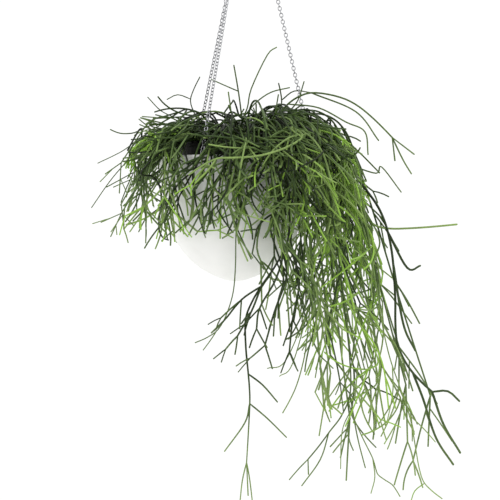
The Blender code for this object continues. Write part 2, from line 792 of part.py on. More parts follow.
def make_spray(name, pieces, section, material, collection):
    """Fuse a spray's stems; MANIFOLD joins many thin tubes where the exact solver is slow"""
    meshes = []
    for order, points in pieces:
        radii = np.linspace(STEM_RADII[order], STEM_RADII[order] * TIP_TAPER, len(points))
        if order:
            radii[0] = JOINT_RADIUS
        meshes.append(wire_mesh(points, radii, section))
    spray = place(name, meshes[0], material, collection)
    return combine(spray, meshes[1:], "UNION", "MANIFOLD", collection)


def main():
    clear_scene()
    collection = new_collection("potted_mistletoe_cactus")
    guides = new_collection("guides")
    section = three_sided_profile()
    section.hide_render = True
    section.display_type = "WIRE"
    guides.objects.link(section)
    make_bowl(collection)
    make_nursery_pot(collection)
    make_ring(collection)
    for name, (azimuth, slot) in CHAINS.items():
        make_hook(name, azimuth, collection)
        make_chain(name, azimuth, slot, section, collection)
    sprays = grow_plant()
    make_soil([pieces[0][1][0] for pieces in sprays.values()], collection)
    green = stem_green()
    for name, pieces in sprays.items():
        make_spray(name, pieces, section, green, collection)
    for thing in collection.objects:
        thing.data.shade_smooth()
        thing.data.set_sharp_from_angle(angle=math.radians(35))


main()
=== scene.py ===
# %% [markdown]
# # A mistletoe cactus in a hanging bowl
#
# The object is a white bowl on three thin chains. A cactus with stems like green string stands in
# it: the stems rise from the soil, arch over the rim and hang down, and fork into short twigs.
# The solid model is loaded first and stays as it is. It says where every piece goes. This lesson
# then makes the surface that the eye sees, piece by piece, around that fixed frame.

import math
import random

import bpy
import numpy as np
from mathutils import Matrix, Vector
from mathutils.kdtree import KDTree


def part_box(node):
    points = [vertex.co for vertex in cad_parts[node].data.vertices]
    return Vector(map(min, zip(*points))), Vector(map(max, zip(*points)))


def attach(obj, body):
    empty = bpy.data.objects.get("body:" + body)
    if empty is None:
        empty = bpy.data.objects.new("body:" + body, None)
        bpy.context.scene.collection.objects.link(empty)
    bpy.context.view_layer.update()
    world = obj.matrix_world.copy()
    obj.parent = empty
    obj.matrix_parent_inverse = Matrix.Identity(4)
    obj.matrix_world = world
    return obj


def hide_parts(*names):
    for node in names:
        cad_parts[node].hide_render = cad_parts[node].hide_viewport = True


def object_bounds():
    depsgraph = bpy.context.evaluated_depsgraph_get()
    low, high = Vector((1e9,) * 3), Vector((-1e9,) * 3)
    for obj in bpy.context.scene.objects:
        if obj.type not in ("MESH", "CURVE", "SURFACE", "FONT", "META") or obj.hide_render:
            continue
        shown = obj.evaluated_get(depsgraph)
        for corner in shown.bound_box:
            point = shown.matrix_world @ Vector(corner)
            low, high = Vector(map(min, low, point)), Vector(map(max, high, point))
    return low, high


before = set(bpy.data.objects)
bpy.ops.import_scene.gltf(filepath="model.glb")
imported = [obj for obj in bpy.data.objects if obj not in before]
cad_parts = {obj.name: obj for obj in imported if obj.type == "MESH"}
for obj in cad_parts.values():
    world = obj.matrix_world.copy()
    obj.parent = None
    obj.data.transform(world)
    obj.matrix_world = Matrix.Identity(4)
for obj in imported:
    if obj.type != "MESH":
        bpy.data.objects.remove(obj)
cad_box = [list(corner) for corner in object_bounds()]
print("frame:", len(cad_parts), "nodes, box", [[round(v, 3) for v in c] for c in cad_box])

# %% [markdown]
# ## Small helpers
#
# Blender's operators act on whatever is selected, so each step first selects only its own piece.
# A piece could keep its place in its object's location, but patterns that read object coordinates
# would then move with it. So every place is put into the mesh, and every object stays at the origin.

# %% Helpers for selecting and naming pieces
MM = 0.001


def deselect_all():
    if bpy.context.mode != "OBJECT":
        bpy.ops.object.mode_set(mode="OBJECT")
    bpy.ops.object.select_all(action="DESELECT")


def select_only(*pieces):
    deselect_all()
    for piece in pieces:
        piece.select_set(True)
    bpy.context.view_layer.objects.active = pieces[0]


def name_piece(piece, name):
    piece.name = name
    piece.data.name = name


# %% Helpers for meshes
def settle(piece):
    """Move a piece's place, turn and size into its mesh"""
    select_only(piece)
    bpy.ops.object.transform_apply(location=True, rotation=True, scale=True)


def weld(piece, distance=0.01 * MM):
    """Merge points that lie on one another and turn all faces outwards"""
    select_only(piece)
    bpy.ops.object.mode_set(mode="EDIT")
    bpy.ops.mesh.select_all(action="SELECT")
    bpy.ops.mesh.remove_doubles(threshold=distance)
    bpy.ops.mesh.normals_make_consistent(inside=False)
    bpy.ops.object.mode_set(mode="OBJECT")


def apply_modifiers(piece):
    select_only(piece)
    for modifier in list(piece.modifiers):
        bpy.ops.object.modifier_apply(modifier=modifier.name)


def join_pieces(pieces):
    """Join pieces into the first of them"""
    select_only(*pieces)
    bpy.ops.object.join()
    return pieces[0]


# %% Finish a piece
SMOOTH_ANGLE = math.radians(35)


def finish_piece(piece, material, slot, *nodes):
    """Shade a piece, give it its material and tie it to the frame"""
    select_only(piece)
    bpy.ops.object.shade_smooth_by_angle(angle=SMOOTH_ANGLE)
    piece.data.materials.clear()
    piece.data.materials.append(material)
    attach(piece, "root")
    if nodes:
        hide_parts(*nodes)
    triangles = sum(len(face.vertices) - 2 for face in piece.data.polygons)
    print(piece.name, "has", triangles, "triangles")


# %% [markdown]
# ## Helpers for materials
#
# Colours are picked as sRGB hex values, the way an eye or a paint chart gives them, but a shader
# counts in linear light. One function converts them. One more function adds a node with its
# settings and links, so that each material below reads like a recipe.

# %% Colours and nodes
def linear(hex_colour):
    """An sRGB hex colour as linear red, green, blue and alpha"""
    shares = [int(hex_colour[i:i + 2], 16) / 255 for i in (0, 2, 4)]
    return (*[s / 12.92 if s <= 0.04045 else ((s + 0.055) / 1.055) ** 2.4 for s in shares], 1)


def add_node(tree, kind, inputs, **settings):
    """Add a node. An input that is given an output socket is linked, and any other is set"""
    made = tree.nodes.new(kind)
    for name, value in settings.items():
        setattr(made, name, value)
    for name, value in inputs.items():
        if isinstance(value, bpy.types.NodeSocket):
            tree.links.new(value, made.inputs[name])
        else:
            made.inputs[name].default_value = value
    return made


def new_material(name):
    """A material with its node tree, its Principled shader and its object coordinates"""
    material = bpy.data.materials.new(name)
    material.use_nodes = True
    tree = material.node_tree
    place = add_node(tree, "ShaderNodeTexCoord", {}).outputs["Object"]
    return material, tree, tree.nodes["Principled BSDF"], place


# %% Patterns, roughness and bumps
def per_metre(size):
    """The scale of a pattern whose features are this far apart, in metres"""
    return 1 / size


def colour_ramp(tree, factor, stops):
    ramp = add_node(tree, "ShaderNodeValToRGB", {"Fac": factor})
    while len(ramp.color_ramp.elements) < len(stops):
        ramp.color_ramp.elements.new(0.5)
    for element, (position, colour) in zip(ramp.color_ramp.elements, stops):
        element.position = position
        element.color = linear(colour)
    return ramp.outputs["Color"]


def roughness_from(tree, shader, factor, low, high):
    spread = add_node(tree, "ShaderNodeMapRange", {"Value": factor, "To Min": low, "To Max": high})
    tree.links.new(spread.outputs["Result"], shader.inputs["Roughness"])


def bump_from(tree, shader, height, depth, strength=1.0):
    bump = add_node(tree, "ShaderNodeBump", {"Height": height, "Distance": depth,
                                             "Strength": strength})
    tree.links.new(bump.outputs["Normal"], shader.inputs["Normal"])


# %% [markdown]
# ## The camera and the light
#
# The photograph looks straight at the bowl, level with its foot, against pure white. A long lens
# from far away keeps the chains and the hanging stems as straight as they look there.
# The white could be a wall, but a wall needs strong light to be that white. Here the sky itself is
# white to the camera. A pale floor lies well below, out of the picture, and throws light upwards.

# %% Camera
# What the photograph shows of the plant from left to right, in metres: 500 pixels of 1.25 mm
VIEW_WIDTH = 0.625
CAMERA_DISTANCE = 4.0
SENSOR = 36
# The point in the middle of the picture
AIM = Vector((0.00125, 0, -0.477))

camera = bpy.data.objects.new("camera", bpy.data.cameras.new("camera"))
bpy.context.scene.collection.objects.link(camera)
camera.location = AIM - Vector((0, CAMERA_DISTANCE, 0))
camera.rotation_euler = (math.radians(90), 0, 0)
camera.data.sensor_width = SENSOR
camera.data.lens = SENSOR * CAMERA_DISTANCE / VIEW_WIDTH
camera.data.clip_end = 100
bpy.context.scene.camera = camera
bpy.context.scene.view_settings.view_transform = "Standard"
print("camera at", [round(v, 3) for v in camera.location], "lens", round(camera.data.lens, 1), "mm")

# %% White sky
# The way to the brightest part of the sky, high behind the plant
BRIGHTEST_SKY = (0, 0.5, 0.87)


def set_sky(to_camera, weakest, strongest):
    """White to the camera, and a light that is strongest from above and behind"""
    world = bpy.data.worlds.new("white_studio")
    world.use_nodes = True
    bpy.context.scene.world = world
    tree = world.node_tree
    way = add_node(tree, "ShaderNodeTexCoord", {}).outputs["Generated"]
    towards = add_node(tree, "ShaderNodeVectorMath", {0: way, 1: BRIGHTEST_SKY},
                       operation="DOT_PRODUCT").outputs["Value"]
    strength = add_node(tree, "ShaderNodeMapRange",
                        {"Value": towards, "From Min": -1, "From Max": 1,
                         "To Min": weakest, "To Max": strongest}).outputs["Result"]
    lit = tree.nodes["Background"]
    lit.inputs["Color"].default_value = (1, 1, 1, 1)
    tree.links.new(strength, lit.inputs["Strength"])
    seen = add_node(tree, "ShaderNodeBackground", {"Strength": to_camera})
    seen.inputs["Color"].default_value = (1, 1, 1, 1)
    ray = add_node(tree, "ShaderNodeLightPath", {})
    both = add_node(tree, "ShaderNodeMixShader", {0: ray.outputs["Is Camera Ray"],
                                                  1: lit.outputs["Background"],
                                                  2: seen.outputs["Background"]})
    tree.links.new(both.outputs["Shader"], tree.nodes["World Output"].inputs["Surface"])


# %% Lights and floor
FLOOR_Z = -1.35
FLOOR_SIZE = 4.6


def add_softbox(name, place, size, power):
    light = bpy.data.lights.new(name, "AREA")
    light.shape = "SQUARE"
    light.size = size
    light.energy = power
    lamp = bpy.data.objects.new(name, light)
    lamp.location = place
    lamp.rotation_euler = (AIM - Vector(place)).to_track_quat("-Z", "Y").to_euler()
    bpy.context.scene.collection.objects.link(lamp)


set_sky(to_camera=1.05, weakest=0.6, strongest=1.25)
add_softbox("softbox_left", place=(-1.3, -1.5, 0.7), size=1.2, power=11)
add_softbox("softbox_right", place=(1.6, -1.2, 0.4), size=1.0, power=5)

deselect_all()
bpy.ops.mesh.primitive_plane_add(size=FLOOR_SIZE, location=(0, 0, FLOOR_Z))
floor = bpy.context.active_object
name_piece(floor, "floor")
paper, _, paper_shader, _ = new_material("matt_white_background_paper")
paper_shader.inputs["Base Color"].default_value = linear("f2f2f0")
paper_shader.inputs["Roughness"].default_value = 0.9
floor.data.materials.append(paper)
print("floor at", FLOOR_Z, "with", len(bpy.data.lights), "softboxes")

# %% [markdown]
# ## Sizes
#
# These are the sizes of the solid model, in metres. The stems below grow by the same rule as in
# the solids, and that only works if the bowl, chains and hooks that they keep clear of are the same.

# %% Sizes of the ring, chains and hooks
# Pieces that rest on one another stay this far apart in the solids
TOUCH = 0.3 * MM
RING_RADIUS = 11 * MM
RING_WIRE = 1.2 * MM
# The azimuth of each chain's hole and its place on the ring, in degrees
CHAINS = {"right": (8, 14), "front": (-114, -14), "back": (122, 0)}
LINK_WIRE = 0.95 * MM
LINK_HALF_WIDTH = 2.2 * MM
HOOK_WIRE = 0.8 * MM
HOOK_OFF_WALL = 1.8 * MM
HOOK_OVER_RIM = 3 * MM
HOOK_IN_HOLE = 1.2 * MM
HOOK_CORNER = 0.9 * MM
# Heights over the hole that each side of the wire loop is bent through, in mm
HOOK_SIDE = (2.1, 8, 14, 21)

# %% Sizes of the bowl, nursery pot and soil
BOWL_X = -17 * MM
BOWL_HEIGHT = 155 * MM
BOWL_RIM_Z = -361 * MM
BOWL_BASE_Z = BOWL_RIM_Z - BOWL_HEIGHT
BOWL_WALL = 4 * MM
# Each is a curve with four controls, as (radius, height over the base) in mm
BOWL_FOOT = [(0, 0), (22, 0), (60, 20), (75, 52)]
BOWL_SIDE = [(75, 52), (80, 66), (90, 110), (101, 155)]
HOLE_BELOW_RIM = 21 * MM
HOLE_RADIUS = 2.6 * MM

NURSERY_RIM_RADIUS = 70 * MM
NURSERY_BASE_RADIUS = 52 * MM
NURSERY_TOP = 172 * MM
NURSERY_WALL = 1.2 * MM
NURSERY_LIP = 2.5 * MM
SOIL_TOP = 162 * MM
SOIL_CROWN = 2 * MM
SOIL_Z = BOWL_BASE_Z + SOIL_TOP

low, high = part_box("cover_pot")
print("bowl in the frame: axis at", round((low.x + high.x) / 2, 4), "base at", round(low.z, 4),
      "and here:", BOWL_X, round(BOWL_BASE_Z, 4))


# %% Outlines of the bowl
def bezier(controls, count):
    p = [np.array(c, dtype=float) for c in controls]
    points = []
    for i in range(count + 1):
        t = i / count
        points.append((1 - t) ** 3 * p[0] + 3 * (1 - t) ** 2 * t * p[1]
                      + 3 * (1 - t) * t * t * p[2] + t ** 3 * p[3])
    return points


def bowl_outline(fineness=1):
    """Radius and height of the bowl's outside, from the base up"""
    return np.array(bezier(BOWL_FOOT, 5 * fineness) + bezier(BOWL_SIDE, 4 * fineness)[1:]) * MM


def bowl_inner_outline():
    """The outside moved inwards by the wall, from the rim down"""
    outline = bowl_outline()
    along = np.gradient(outline, axis=0)
    along /= np.linalg.norm(along, axis=1)[:, None]
    inward = np.column_stack([-along[:, 1], along[:, 0]])
    inner = outline + inward * BOWL_WALL
    inner[-1] = (outline[-1][0] - BOWL_WALL, BOWL_HEIGHT)
    return inner[1:][::-1]


def radial(azimuth):
    angle = math.radians(azimuth)
    return np.array((math.cos(angle), math.sin(angle), 0.0))


def bowl_radius(height):
    outline = bowl_outline()
    return float(np.interp(height, outline[:, 1], outline[:, 0]))


def hole_place(azimuth, radius):
    """A point at the height of the chain holes, this far from the bowl's axis"""
    return np.array((BOWL_X, 0, BOWL_RIM_Z - HOLE_BELOW_RIM)) + radial(azimuth) * radius


# %% [markdown]
# ## The bowl
#
# The real bowl is cast or thrown earthenware with a matt white glaze. It could be a Screw modifier
# on an outline, but here it is turned the way a potter lifts a wall: one ring of edges is pulled
# along the outline, point by point. A Solidify modifier gives the wall its 4 mm, a Bevel rounds the
# lip, and three small cylinders cut the holes for the chains.

# %% Turn a surface from a ring of edges
def turned_surface(name, outline, sides):
    """Extrude and resize a ring of edges from one (radius, height) point to the next"""
    deselect_all()
    bpy.ops.mesh.primitive_circle_add(vertices=sides, radius=outline[0][0], fill_type="NOTHING",
                                      location=(BOWL_X, 0, BOWL_BASE_Z + outline[0][1]))
    piece = bpy.context.active_object
    name_piece(piece, name)
    bpy.ops.object.mode_set(mode="EDIT")
    for (r0, h0), (r1, h1) in zip(outline, outline[1:]):
        bpy.ops.mesh.extrude_region_move(TRANSFORM_OT_translate={"value": (0, 0, h1 - h0)})
        if r1 > 0:
            bpy.ops.transform.resize(value=(r1 / r0, r1 / r0, 1),
                                     center_override=(BOWL_X, 0, BOWL_BASE_Z + h1))
        else:
            bpy.ops.mesh.merge(type="CENTER")
    bpy.ops.mesh.select_all(action="SELECT")
    bpy.ops.mesh.normals_make_consistent(inside=False)
    settle(piece)
    return piece


# %% Give it a wall and holes
SHARP_ANGLE = math.radians(50)
HOLE_SIDES = 24


def give_wall(piece, thickness, lip, segments=3):
    """Thicken a turned surface inwards and round the edges of its rim"""
    wall = piece.modifiers.new("wall", "SOLIDIFY")
    wall.thickness = thickness
    wall.offset = -1
    rounding = piece.modifiers.new("lip", "BEVEL")
    rounding.width = lip
    rounding.segments = segments
    rounding.limit_method = "ANGLE"
    rounding.angle_limit = SHARP_ANGLE
    apply_modifiers(piece)


def drill_holes(piece, places, turns, radius, depth):
    """Cut round holes with cylinders, each centred at its place"""
    for place, turn in zip(places, turns):
        deselect_all()
        bpy.ops.mesh.primitive_cylinder_add(vertices=HOLE_SIDES, radius=radius, depth=depth,
                                            location=place, rotation=turn)
        cutter = bpy.context.active_object
        cut = piece.modifiers.new("hole", "BOOLEAN")
        cut.operation = "DIFFERENCE"
        cut.object = cutter
        apply_modifiers(piece)
        bpy.data.objects.remove(cutter)


# %% White glaze
def matt_white_glaze():
    """Matt glaze: it scatters light evenly, with a soft sheen and a surface like fine eggshell"""
    material, tree, shader, place = new_material("matt_white_glazed_earthenware")
    clouds = add_node(tree, "ShaderNodeTexNoise", {"Vector": place, "Scale": per_metre(35 * MM),
                                                   "Detail": 3}).outputs["Fac"]
    shade = colour_ramp(tree, clouds, [(0.3, "efefed"), (0.7, "f6f6f4")])
    tree.links.new(shade, shader.inputs["Base Color"])
    roughness_from(tree, shader, clouds, 0.42, 0.52)
    grain = add_node(tree, "ShaderNodeTexNoise", {"Vector": place, "Scale": per_metre(1.2 * MM),
                                                  "Detail": 2}).outputs["Fac"]
    bump_from(tree, shader, grain, 0.02 * MM, 0.4)
    return material


# %% Make the bowl
BOWL_SIDES = 96
BOWL_LIP = 1.3 * MM
HOLE_DEPTH = 4 * BOWL_WALL
bowl = turned_surface("bowl", bowl_outline(fineness=4)[::-1], BOWL_SIDES)
give_wall(bowl, BOWL_WALL, BOWL_LIP)
hole_radius_at = bowl_radius(BOWL_HEIGHT - HOLE_BELOW_RIM) - BOWL_WALL / 2
drill_holes(bowl, [hole_place(azimuth, hole_radius_at) for azimuth, _ in CHAINS.values()],
            [(0, math.pi / 2, math.radians(azimuth)) for azimuth, _ in CHAINS.values()],
            HOLE_RADIUS, HOLE_DEPTH)
finish_piece(bowl, matt_white_glaze(), "white_glaze", "cover_pot")

# %% [markdown]
# ## The nursery pot
#
# Plants are sold in a thin black pot of moulded polypropylene, and it stands inside the bowl. Only
# its rim can be seen between the stems. It is turned like the bowl, with the folded lip that
# stiffens such pots, and four holes let the water out.

# %% Black moulded plastic
def black_polypropylene():
    """Thin moulded plastic: dull black with a slight gloss, dusty from the soil"""
    material, tree, shader, place = new_material("black_moulded_polypropylene")
    dust = add_node(tree, "ShaderNodeTexNoise", {"Vector": place, "Scale": per_metre(9 * MM),
                                                 "Detail": 5}).outputs["Fac"]
    shade = colour_ramp(tree, dust, [(0.45, "1b1a19"), (0.75, "37332e")])
    tree.links.new(shade, shader.inputs["Base Color"])
    roughness_from(tree, shader, dust, 0.4, 0.7)
    bump_from(tree, shader, dust, 0.05 * MM, 0.3)
    return material


# %% Make the nursery pot
NURSERY_SIDES = 72
NURSERY_LIFT = 1.4 * TOUCH
LIP_CORNER = 0.5 * MM
LIP_SLOPE = 0.4 * MM
LIP_ROUNDING = 0.3 * MM
FOOT_CORNER = 1 * MM


def nursery_base_height():
    """Height at which the nursery pot's foot rests on the inside of the bowl"""
    inner = bowl_inner_outline()[::-1]
    return float(np.interp(NURSERY_BASE_RADIUS, inner[:, 0], inner[:, 1])) + NURSERY_LIFT


nursery_base = nursery_base_height()
lip_radius = NURSERY_RIM_RADIUS + NURSERY_LIP
lip_bottom = NURSERY_TOP - 2 * NURSERY_LIP
nursery_outline = [(lip_radius, lip_bottom), (lip_radius, NURSERY_TOP - LIP_CORNER),
                   (lip_radius - LIP_CORNER, NURSERY_TOP), (NURSERY_RIM_RADIUS, NURSERY_TOP),
                   (NURSERY_RIM_RADIUS - LIP_SLOPE, lip_bottom),
                   (NURSERY_BASE_RADIUS, nursery_base + FOOT_CORNER),
                   (NURSERY_BASE_RADIUS - FOOT_CORNER, nursery_base), (0, nursery_base)]
nursery_pot = turned_surface("nursery_pot_black", nursery_outline, NURSERY_SIDES)
give_wall(nursery_pot, NURSERY_WALL, LIP_ROUNDING, segments=2)
print("nursery pot stands", round(nursery_base / MM, 1), "mm over the bowl's base")

# %% Drill its drain holes
DRAIN_RADIUS = 5 * MM
DRAIN_DEPTH = 6 * MM
DRAIN_AZIMUTHS = (45, 135, 225, 315)
# How far out the holes lie, as a share of the base's radius
DRAIN_OUT = 0.6

foot_middle = np.array((BOWL_X, 0, BOWL_BASE_Z + nursery_base))
drain_places = [foot_middle + radial(azimuth) * DRAIN_OUT * NURSERY_BASE_RADIUS
                for azimuth in DRAIN_AZIMUTHS]
drill_holes(nursery_pot, drain_places, [(0, 0, 0)] * len(DRAIN_AZIMUTHS), DRAIN_RADIUS, DRAIN_DEPTH)
finish_piece(nursery_pot, black_polypropylene(), "nursery_plastic", "nursery_pot")

# %% [markdown]
# ## The soil
#
# Cactus soil is peat with pine bark and white perlite, to let air in. A Displace modifier raises
# the lumps of the peat. The chips of bark and the perlite are each modelled once, as a roughened
# lump, and copied by a seeded rule, because a pattern alone would look flat from above.

# %% Peat, bark and perlite
def peat(name, dark, pale, lump):
    """Moist peat and bark: very dark brown, rough, with no gloss at all"""
    material, tree, shader, place = new_material(name)
    crumbs = add_node(tree, "ShaderNodeTexNoise", {"Vector": place, "Scale": per_metre(lump),
                                                   "Detail": 6, "Roughness": 0.7}).outputs["Fac"]
    shade = colour_ramp(tree, crumbs, [(0.35, dark), (0.7, pale)])
    tree.links.new(shade, shader.inputs["Base Color"])
    shader.inputs["Roughness"].default_value = 0.95
    bump_from(tree, shader, crumbs, 0.6 * MM)
    return material


# %% Turn the soil
SOIL_SIDES = 72
SOIL_RINGS = 22
SOIL_CORNER = 3 * MM
SOIL_SIDE_GAP = 1.5 * TOUCH
soil_foot = NURSERY_BASE_RADIUS - NURSERY_WALL - SOIL_SIDE_GAP
soil_base = nursery_base + NURSERY_WALL + TOUCH
soil_edge = soil_foot + ((NURSERY_RIM_RADIUS - NURSERY_BASE_RADIUS) * (SOIL_TOP - soil_base)
                         / (NURSERY_TOP - soil_base))
soil_outline = [(MM, soil_base), (soil_foot, soil_base), (soil_edge, SOIL_TOP - SOIL_CORNER)]
soil_outline += [(soil_edge * (1 - i / SOIL_RINGS), SOIL_TOP + SOIL_CROWN * (i / SOIL_RINGS))
                 for i in range(SOIL_RINGS + 1)]
soil = turned_surface("soil_surface", soil_outline, SOIL_SIDES)
bpy.ops.object.mode_set(mode="EDIT")
bpy.ops.mesh.select_all(action="SELECT")
bpy.ops.mesh.fill_holes(sides=0)
bpy.ops.object.mode_set(mode="OBJECT")

# %% Raise the lumps of the peat
LUMP_SIZE = 7 * MM
LUMP_HEIGHT = 5 * MM

top = soil.vertex_groups.new(name="top")
top.add([v.index for v in soil.data.vertices if v.co.z > SOIL_Z - MM], 1.0, "REPLACE")
lumps = bpy.data.textures.new("soil_lumps", "CLOUDS")
lumps.noise_scale = LUMP_SIZE
lumps.noise_depth = 3
raise_lumps = soil.modifiers.new("lumps", "DISPLACE")
raise_lumps.texture = lumps
raise_lumps.texture_coords = "LOCAL"
raise_lumps.direction = "Z"
raise_lumps.strength = LUMP_HEIGHT
raise_lumps.vertex_group = "top"
apply_modifiers(soil)
finish_piece(soil, peat("moist_peat", "17100b", "3a2a1c", 2.5 * MM), "peat_soil", "soil")

# %% Model one chip
# How far its edges are cut off, as a share of its least size
CHIP_BEVEL = 0.3


def rough_lump(name, size, seed, roughness):
    """A small block, stretched and pushed about, with its centre at the origin"""
    deselect_all()
    bpy.ops.mesh.primitive_cube_add(size=1)
    lump = bpy.context.active_object
    name_piece(lump, name)
    bpy.ops.object.mode_set(mode="EDIT")
    bpy.ops.transform.resize(value=size)
    bpy.ops.mesh.bevel(offset=min(size) * CHIP_BEVEL, segments=1, affect="EDGES")
    bpy.ops.transform.vertex_random(offset=roughness * min(size), uniform=1.0, normal=0.0, seed=seed)
    bpy.ops.object.mode_set(mode="OBJECT")
    return lump


# %% Scatter bark and perlite
# The share of the soil's radius that they lie on, their height over it in mm, and their sizes
SCATTER_OUT = 0.95
SCATTER_HEIGHTS = (-0.5, 1.2)
SCATTER_SIZES = (0.6, 1.3)


def scatter_on_soil(lump, count, seed):
    """Copies of a lump, turned every way, lying on the soil"""
    rng = random.Random(seed)
    copies = []
    for _ in range(count):
        out = soil_edge * SCATTER_OUT * math.sqrt(rng.random())
        around = rng.uniform(0, 2 * math.pi)
        share = out / soil_edge
        place = Vector((BOWL_X + out * math.cos(around), out * math.sin(around),
                        SOIL_Z + SOIL_CROWN * (1 - share) + rng.uniform(*SCATTER_HEIGHTS) * MM))
        copy = bpy.data.objects.new(lump.name, lump.data.copy())
        bpy.context.scene.collection.objects.link(copy)
        copy.location = place
        copy.rotation_euler = [rng.uniform(0, 2 * math.pi) for _ in range(3)]
        copy.scale = [rng.uniform(*SCATTER_SIZES)] * 3
        copies.append(copy)
    name = lump.name
    bpy.data.objects.remove(lump)
    scattered = join_pieces(copies)
    name_piece(scattered, name)
    settle(scattered)
    return scattered


chip = rough_lump("bark_chips", size=(6 * MM, 4 * MM, 1.8 * MM), seed=3, roughness=0.4)
bark = scatter_on_soil(chip, count=170, seed=71)
finish_piece(bark, peat("composted_pine_bark", "2a1a10", "6b4a30", 1.5 * MM), "peat_soil")
grain = rough_lump("perlite_grains", size=(2.2 * MM, 2 * MM, 1.8 * MM), seed=5, roughness=0.35)
perlite = scatter_on_soil(grain, count=60, seed=72)
finish_piece(perlite, peat("expanded_perlite", "a8a49a", "e4e0d6", 0.8 * MM), "peat_soil")

# %% [markdown]
# ## The ring
#
# One ring of bright steel wire gathers the three chains. It could be a circle swept along a circle,
# and a torus is just that. The ends of the wire are welded together, so a short stretch of it is
# swelled a little, as a weld is.

# %% Bright steel wire
def bright_steel(name):
    """Drawn steel wire with a bright finish: a sharp sheen with fine marks from the die"""
    material, tree, shader, place = new_material(name)
    marks = add_node(tree, "ShaderNodeTexNoise", {"Vector": place, "Scale": per_metre(1.5 * MM),
                                                  "Detail": 4}).outputs["Fac"]
    shade = colour_ramp(tree, marks, [(0.3, "98999c"), (0.7, "bcbdc0")])
    tree.links.new(shade, shader.inputs["Base Color"])
    shader.inputs["Metallic"].default_value = 1.0
    roughness_from(tree, shader, marks, 0.16, 0.3)
    bump_from(tree, shader, marks, 0.01 * MM, 0.3)
    return material


steel = bright_steel("bright_drawn_steel_wire")


# %% Make the ring
WELD_ANGLE = math.radians(5)
WELD_SWELL = 1.16
ring_centre = Vector((0, 0, RING_WIRE - RING_RADIUS))
deselect_all()
bpy.ops.mesh.primitive_torus_add(major_radius=RING_RADIUS, minor_radius=RING_WIRE,
                                 major_segments=72, minor_segments=14, location=ring_centre,
                                 rotation=(math.pi / 2, 0, 0))
ring = bpy.context.active_object
name_piece(ring, "hanging_ring_steel")
settle(ring)
for vertex in ring.data.vertices:
    from_centre = vertex.co - ring_centre
    if abs(math.atan2(from_centre.z, from_centre.x)) < WELD_ANGLE:
        wire_middle = ring_centre + Vector((from_centre.x, 0, from_centre.z)).normalized() * RING_RADIUS
        vertex.co = wire_middle + (vertex.co - wire_middle) * WELD_SWELL
finish_piece(ring, steel, "steel", "hanging_ring")

# %% [markdown]
# ## The chains
#
# The pot hangs on fine steel chain with a link every 4 mm. The solid model has long plain links,
# which are strong and simple. A whole chain could be an Array modifier along a curve, but then no
# link would meet the ring or the hook as it should. Here one real link is modelled: a small ring
# that is pulled out into an oval. It is copied down each chain, every copy about a quarter turn from
# the last, so that each link passes through its neighbours.

# %% Where the chains and hooks run
# Degrees between the points of a hook's round upper end
HOOK_TURN = 36


def ring_point(slot):
    """Centre of the ring's wire at an angle from its lowest point"""
    angle = math.radians(slot)
    return np.array((RING_RADIUS * math.sin(angle), 0, RING_WIRE - RING_RADIUS
                     - RING_RADIUS * math.cos(angle)))


def hook_eye_in_plane():
    """Radius and height of the middle of a loop's upper end, and half of its width"""
    eye_at = bowl_radius(BOWL_HEIGHT) - BOWL_WALL / 2
    return eye_at, HOLE_BELOW_RIM + HOOK_OVER_RIM, BOWL_WALL / 2 + HOOK_OFF_WALL


def hook_path(azimuth):
    """Wire centre of a closed loop: through the hole, up inside the wall, over the rim and down"""
    hole = BOWL_HEIGHT - HOLE_BELOW_RIM
    middle = bowl_radius(hole) - BOWL_WALL / 2
    eye_at, eye_height, half = hook_eye_in_plane()
    plane = [(middle, HOOK_IN_HOLE)]
    for side, heights in ((-1, HOOK_SIDE), (1, HOOK_SIDE[::-1])):
        leg = [(bowl_radius(hole + h * MM) - BOWL_WALL / 2 + side * half, h * MM) for h in heights]
        corner = [(middle + side * (half - HOOK_CORNER), HOOK_IN_HOLE)]
        if side < 0:
            plane += corner + leg
            for degrees in range(180, -1, -HOOK_TURN):
                angle = math.radians(degrees)
                plane.append((eye_at + half * math.cos(angle), eye_height + half * math.sin(angle)))
        else:
            plane += leg + corner
    return [hole_place(azimuth, r) + np.array((0, 0, z)) for r, z in plane]


# %% Where a chain ends
def hook_eye(azimuth):
    """Centre of the upper end of the loop, which the last link hangs in"""
    eye_at, eye_height, _ = hook_eye_in_plane()
    return hole_place(azimuth, eye_at) + np.array((0, 0, eye_height))


def chain_ends(azimuth, slot, wire, touch):
    """Wire centres of the top and bottom link ends, and the chain's direction upwards"""
    top_end = ring_point(slot)
    eye = hook_eye(azimuth)
    up = (top_end - eye) / np.linalg.norm(top_end - eye)
    low_end = eye + up * (hook_eye_in_plane()[2] - HOOK_WIRE - wire - touch)
    high_end = top_end + up * (RING_WIRE + wire + touch)
    return high_end, low_end, up


# %% Model one link
FINE_WIRE = 0.55 * MM
FINE_HALF_WIDTH = 2.1 * MM
FINE_PITCH = 4.25 * MM
FINE_TOUCH = 0.05 * MM


def make_link(half_length):
    """A wire ring that is pulled out into an oval link, standing up along Z and facing Y"""
    deselect_all()
    bpy.ops.mesh.primitive_torus_add(major_radius=FINE_HALF_WIDTH, minor_radius=FINE_WIRE,
                                     major_segments=12, minor_segments=6, rotation=(math.pi / 2, 0, 0))
    link = bpy.context.active_object
    settle(link)
    stretch = half_length - FINE_HALF_WIDTH
    for side in (1, -1):
        select_only(link)
        bpy.ops.object.mode_set(mode="EDIT")
        bpy.ops.mesh.select_all(action="DESELECT")
        bpy.ops.object.mode_set(mode="OBJECT")
        for vertex in link.data.vertices:
            vertex.select = vertex.co.z * side > 0.01 * MM
        bpy.ops.object.mode_set(mode="EDIT")
        bpy.ops.transform.translate(value=(0, 0, side * stretch))
        bpy.ops.object.mode_set(mode="OBJECT")
    return link


# %% Directions
def unit(vector):
    return vector / np.linalg.norm(vector)


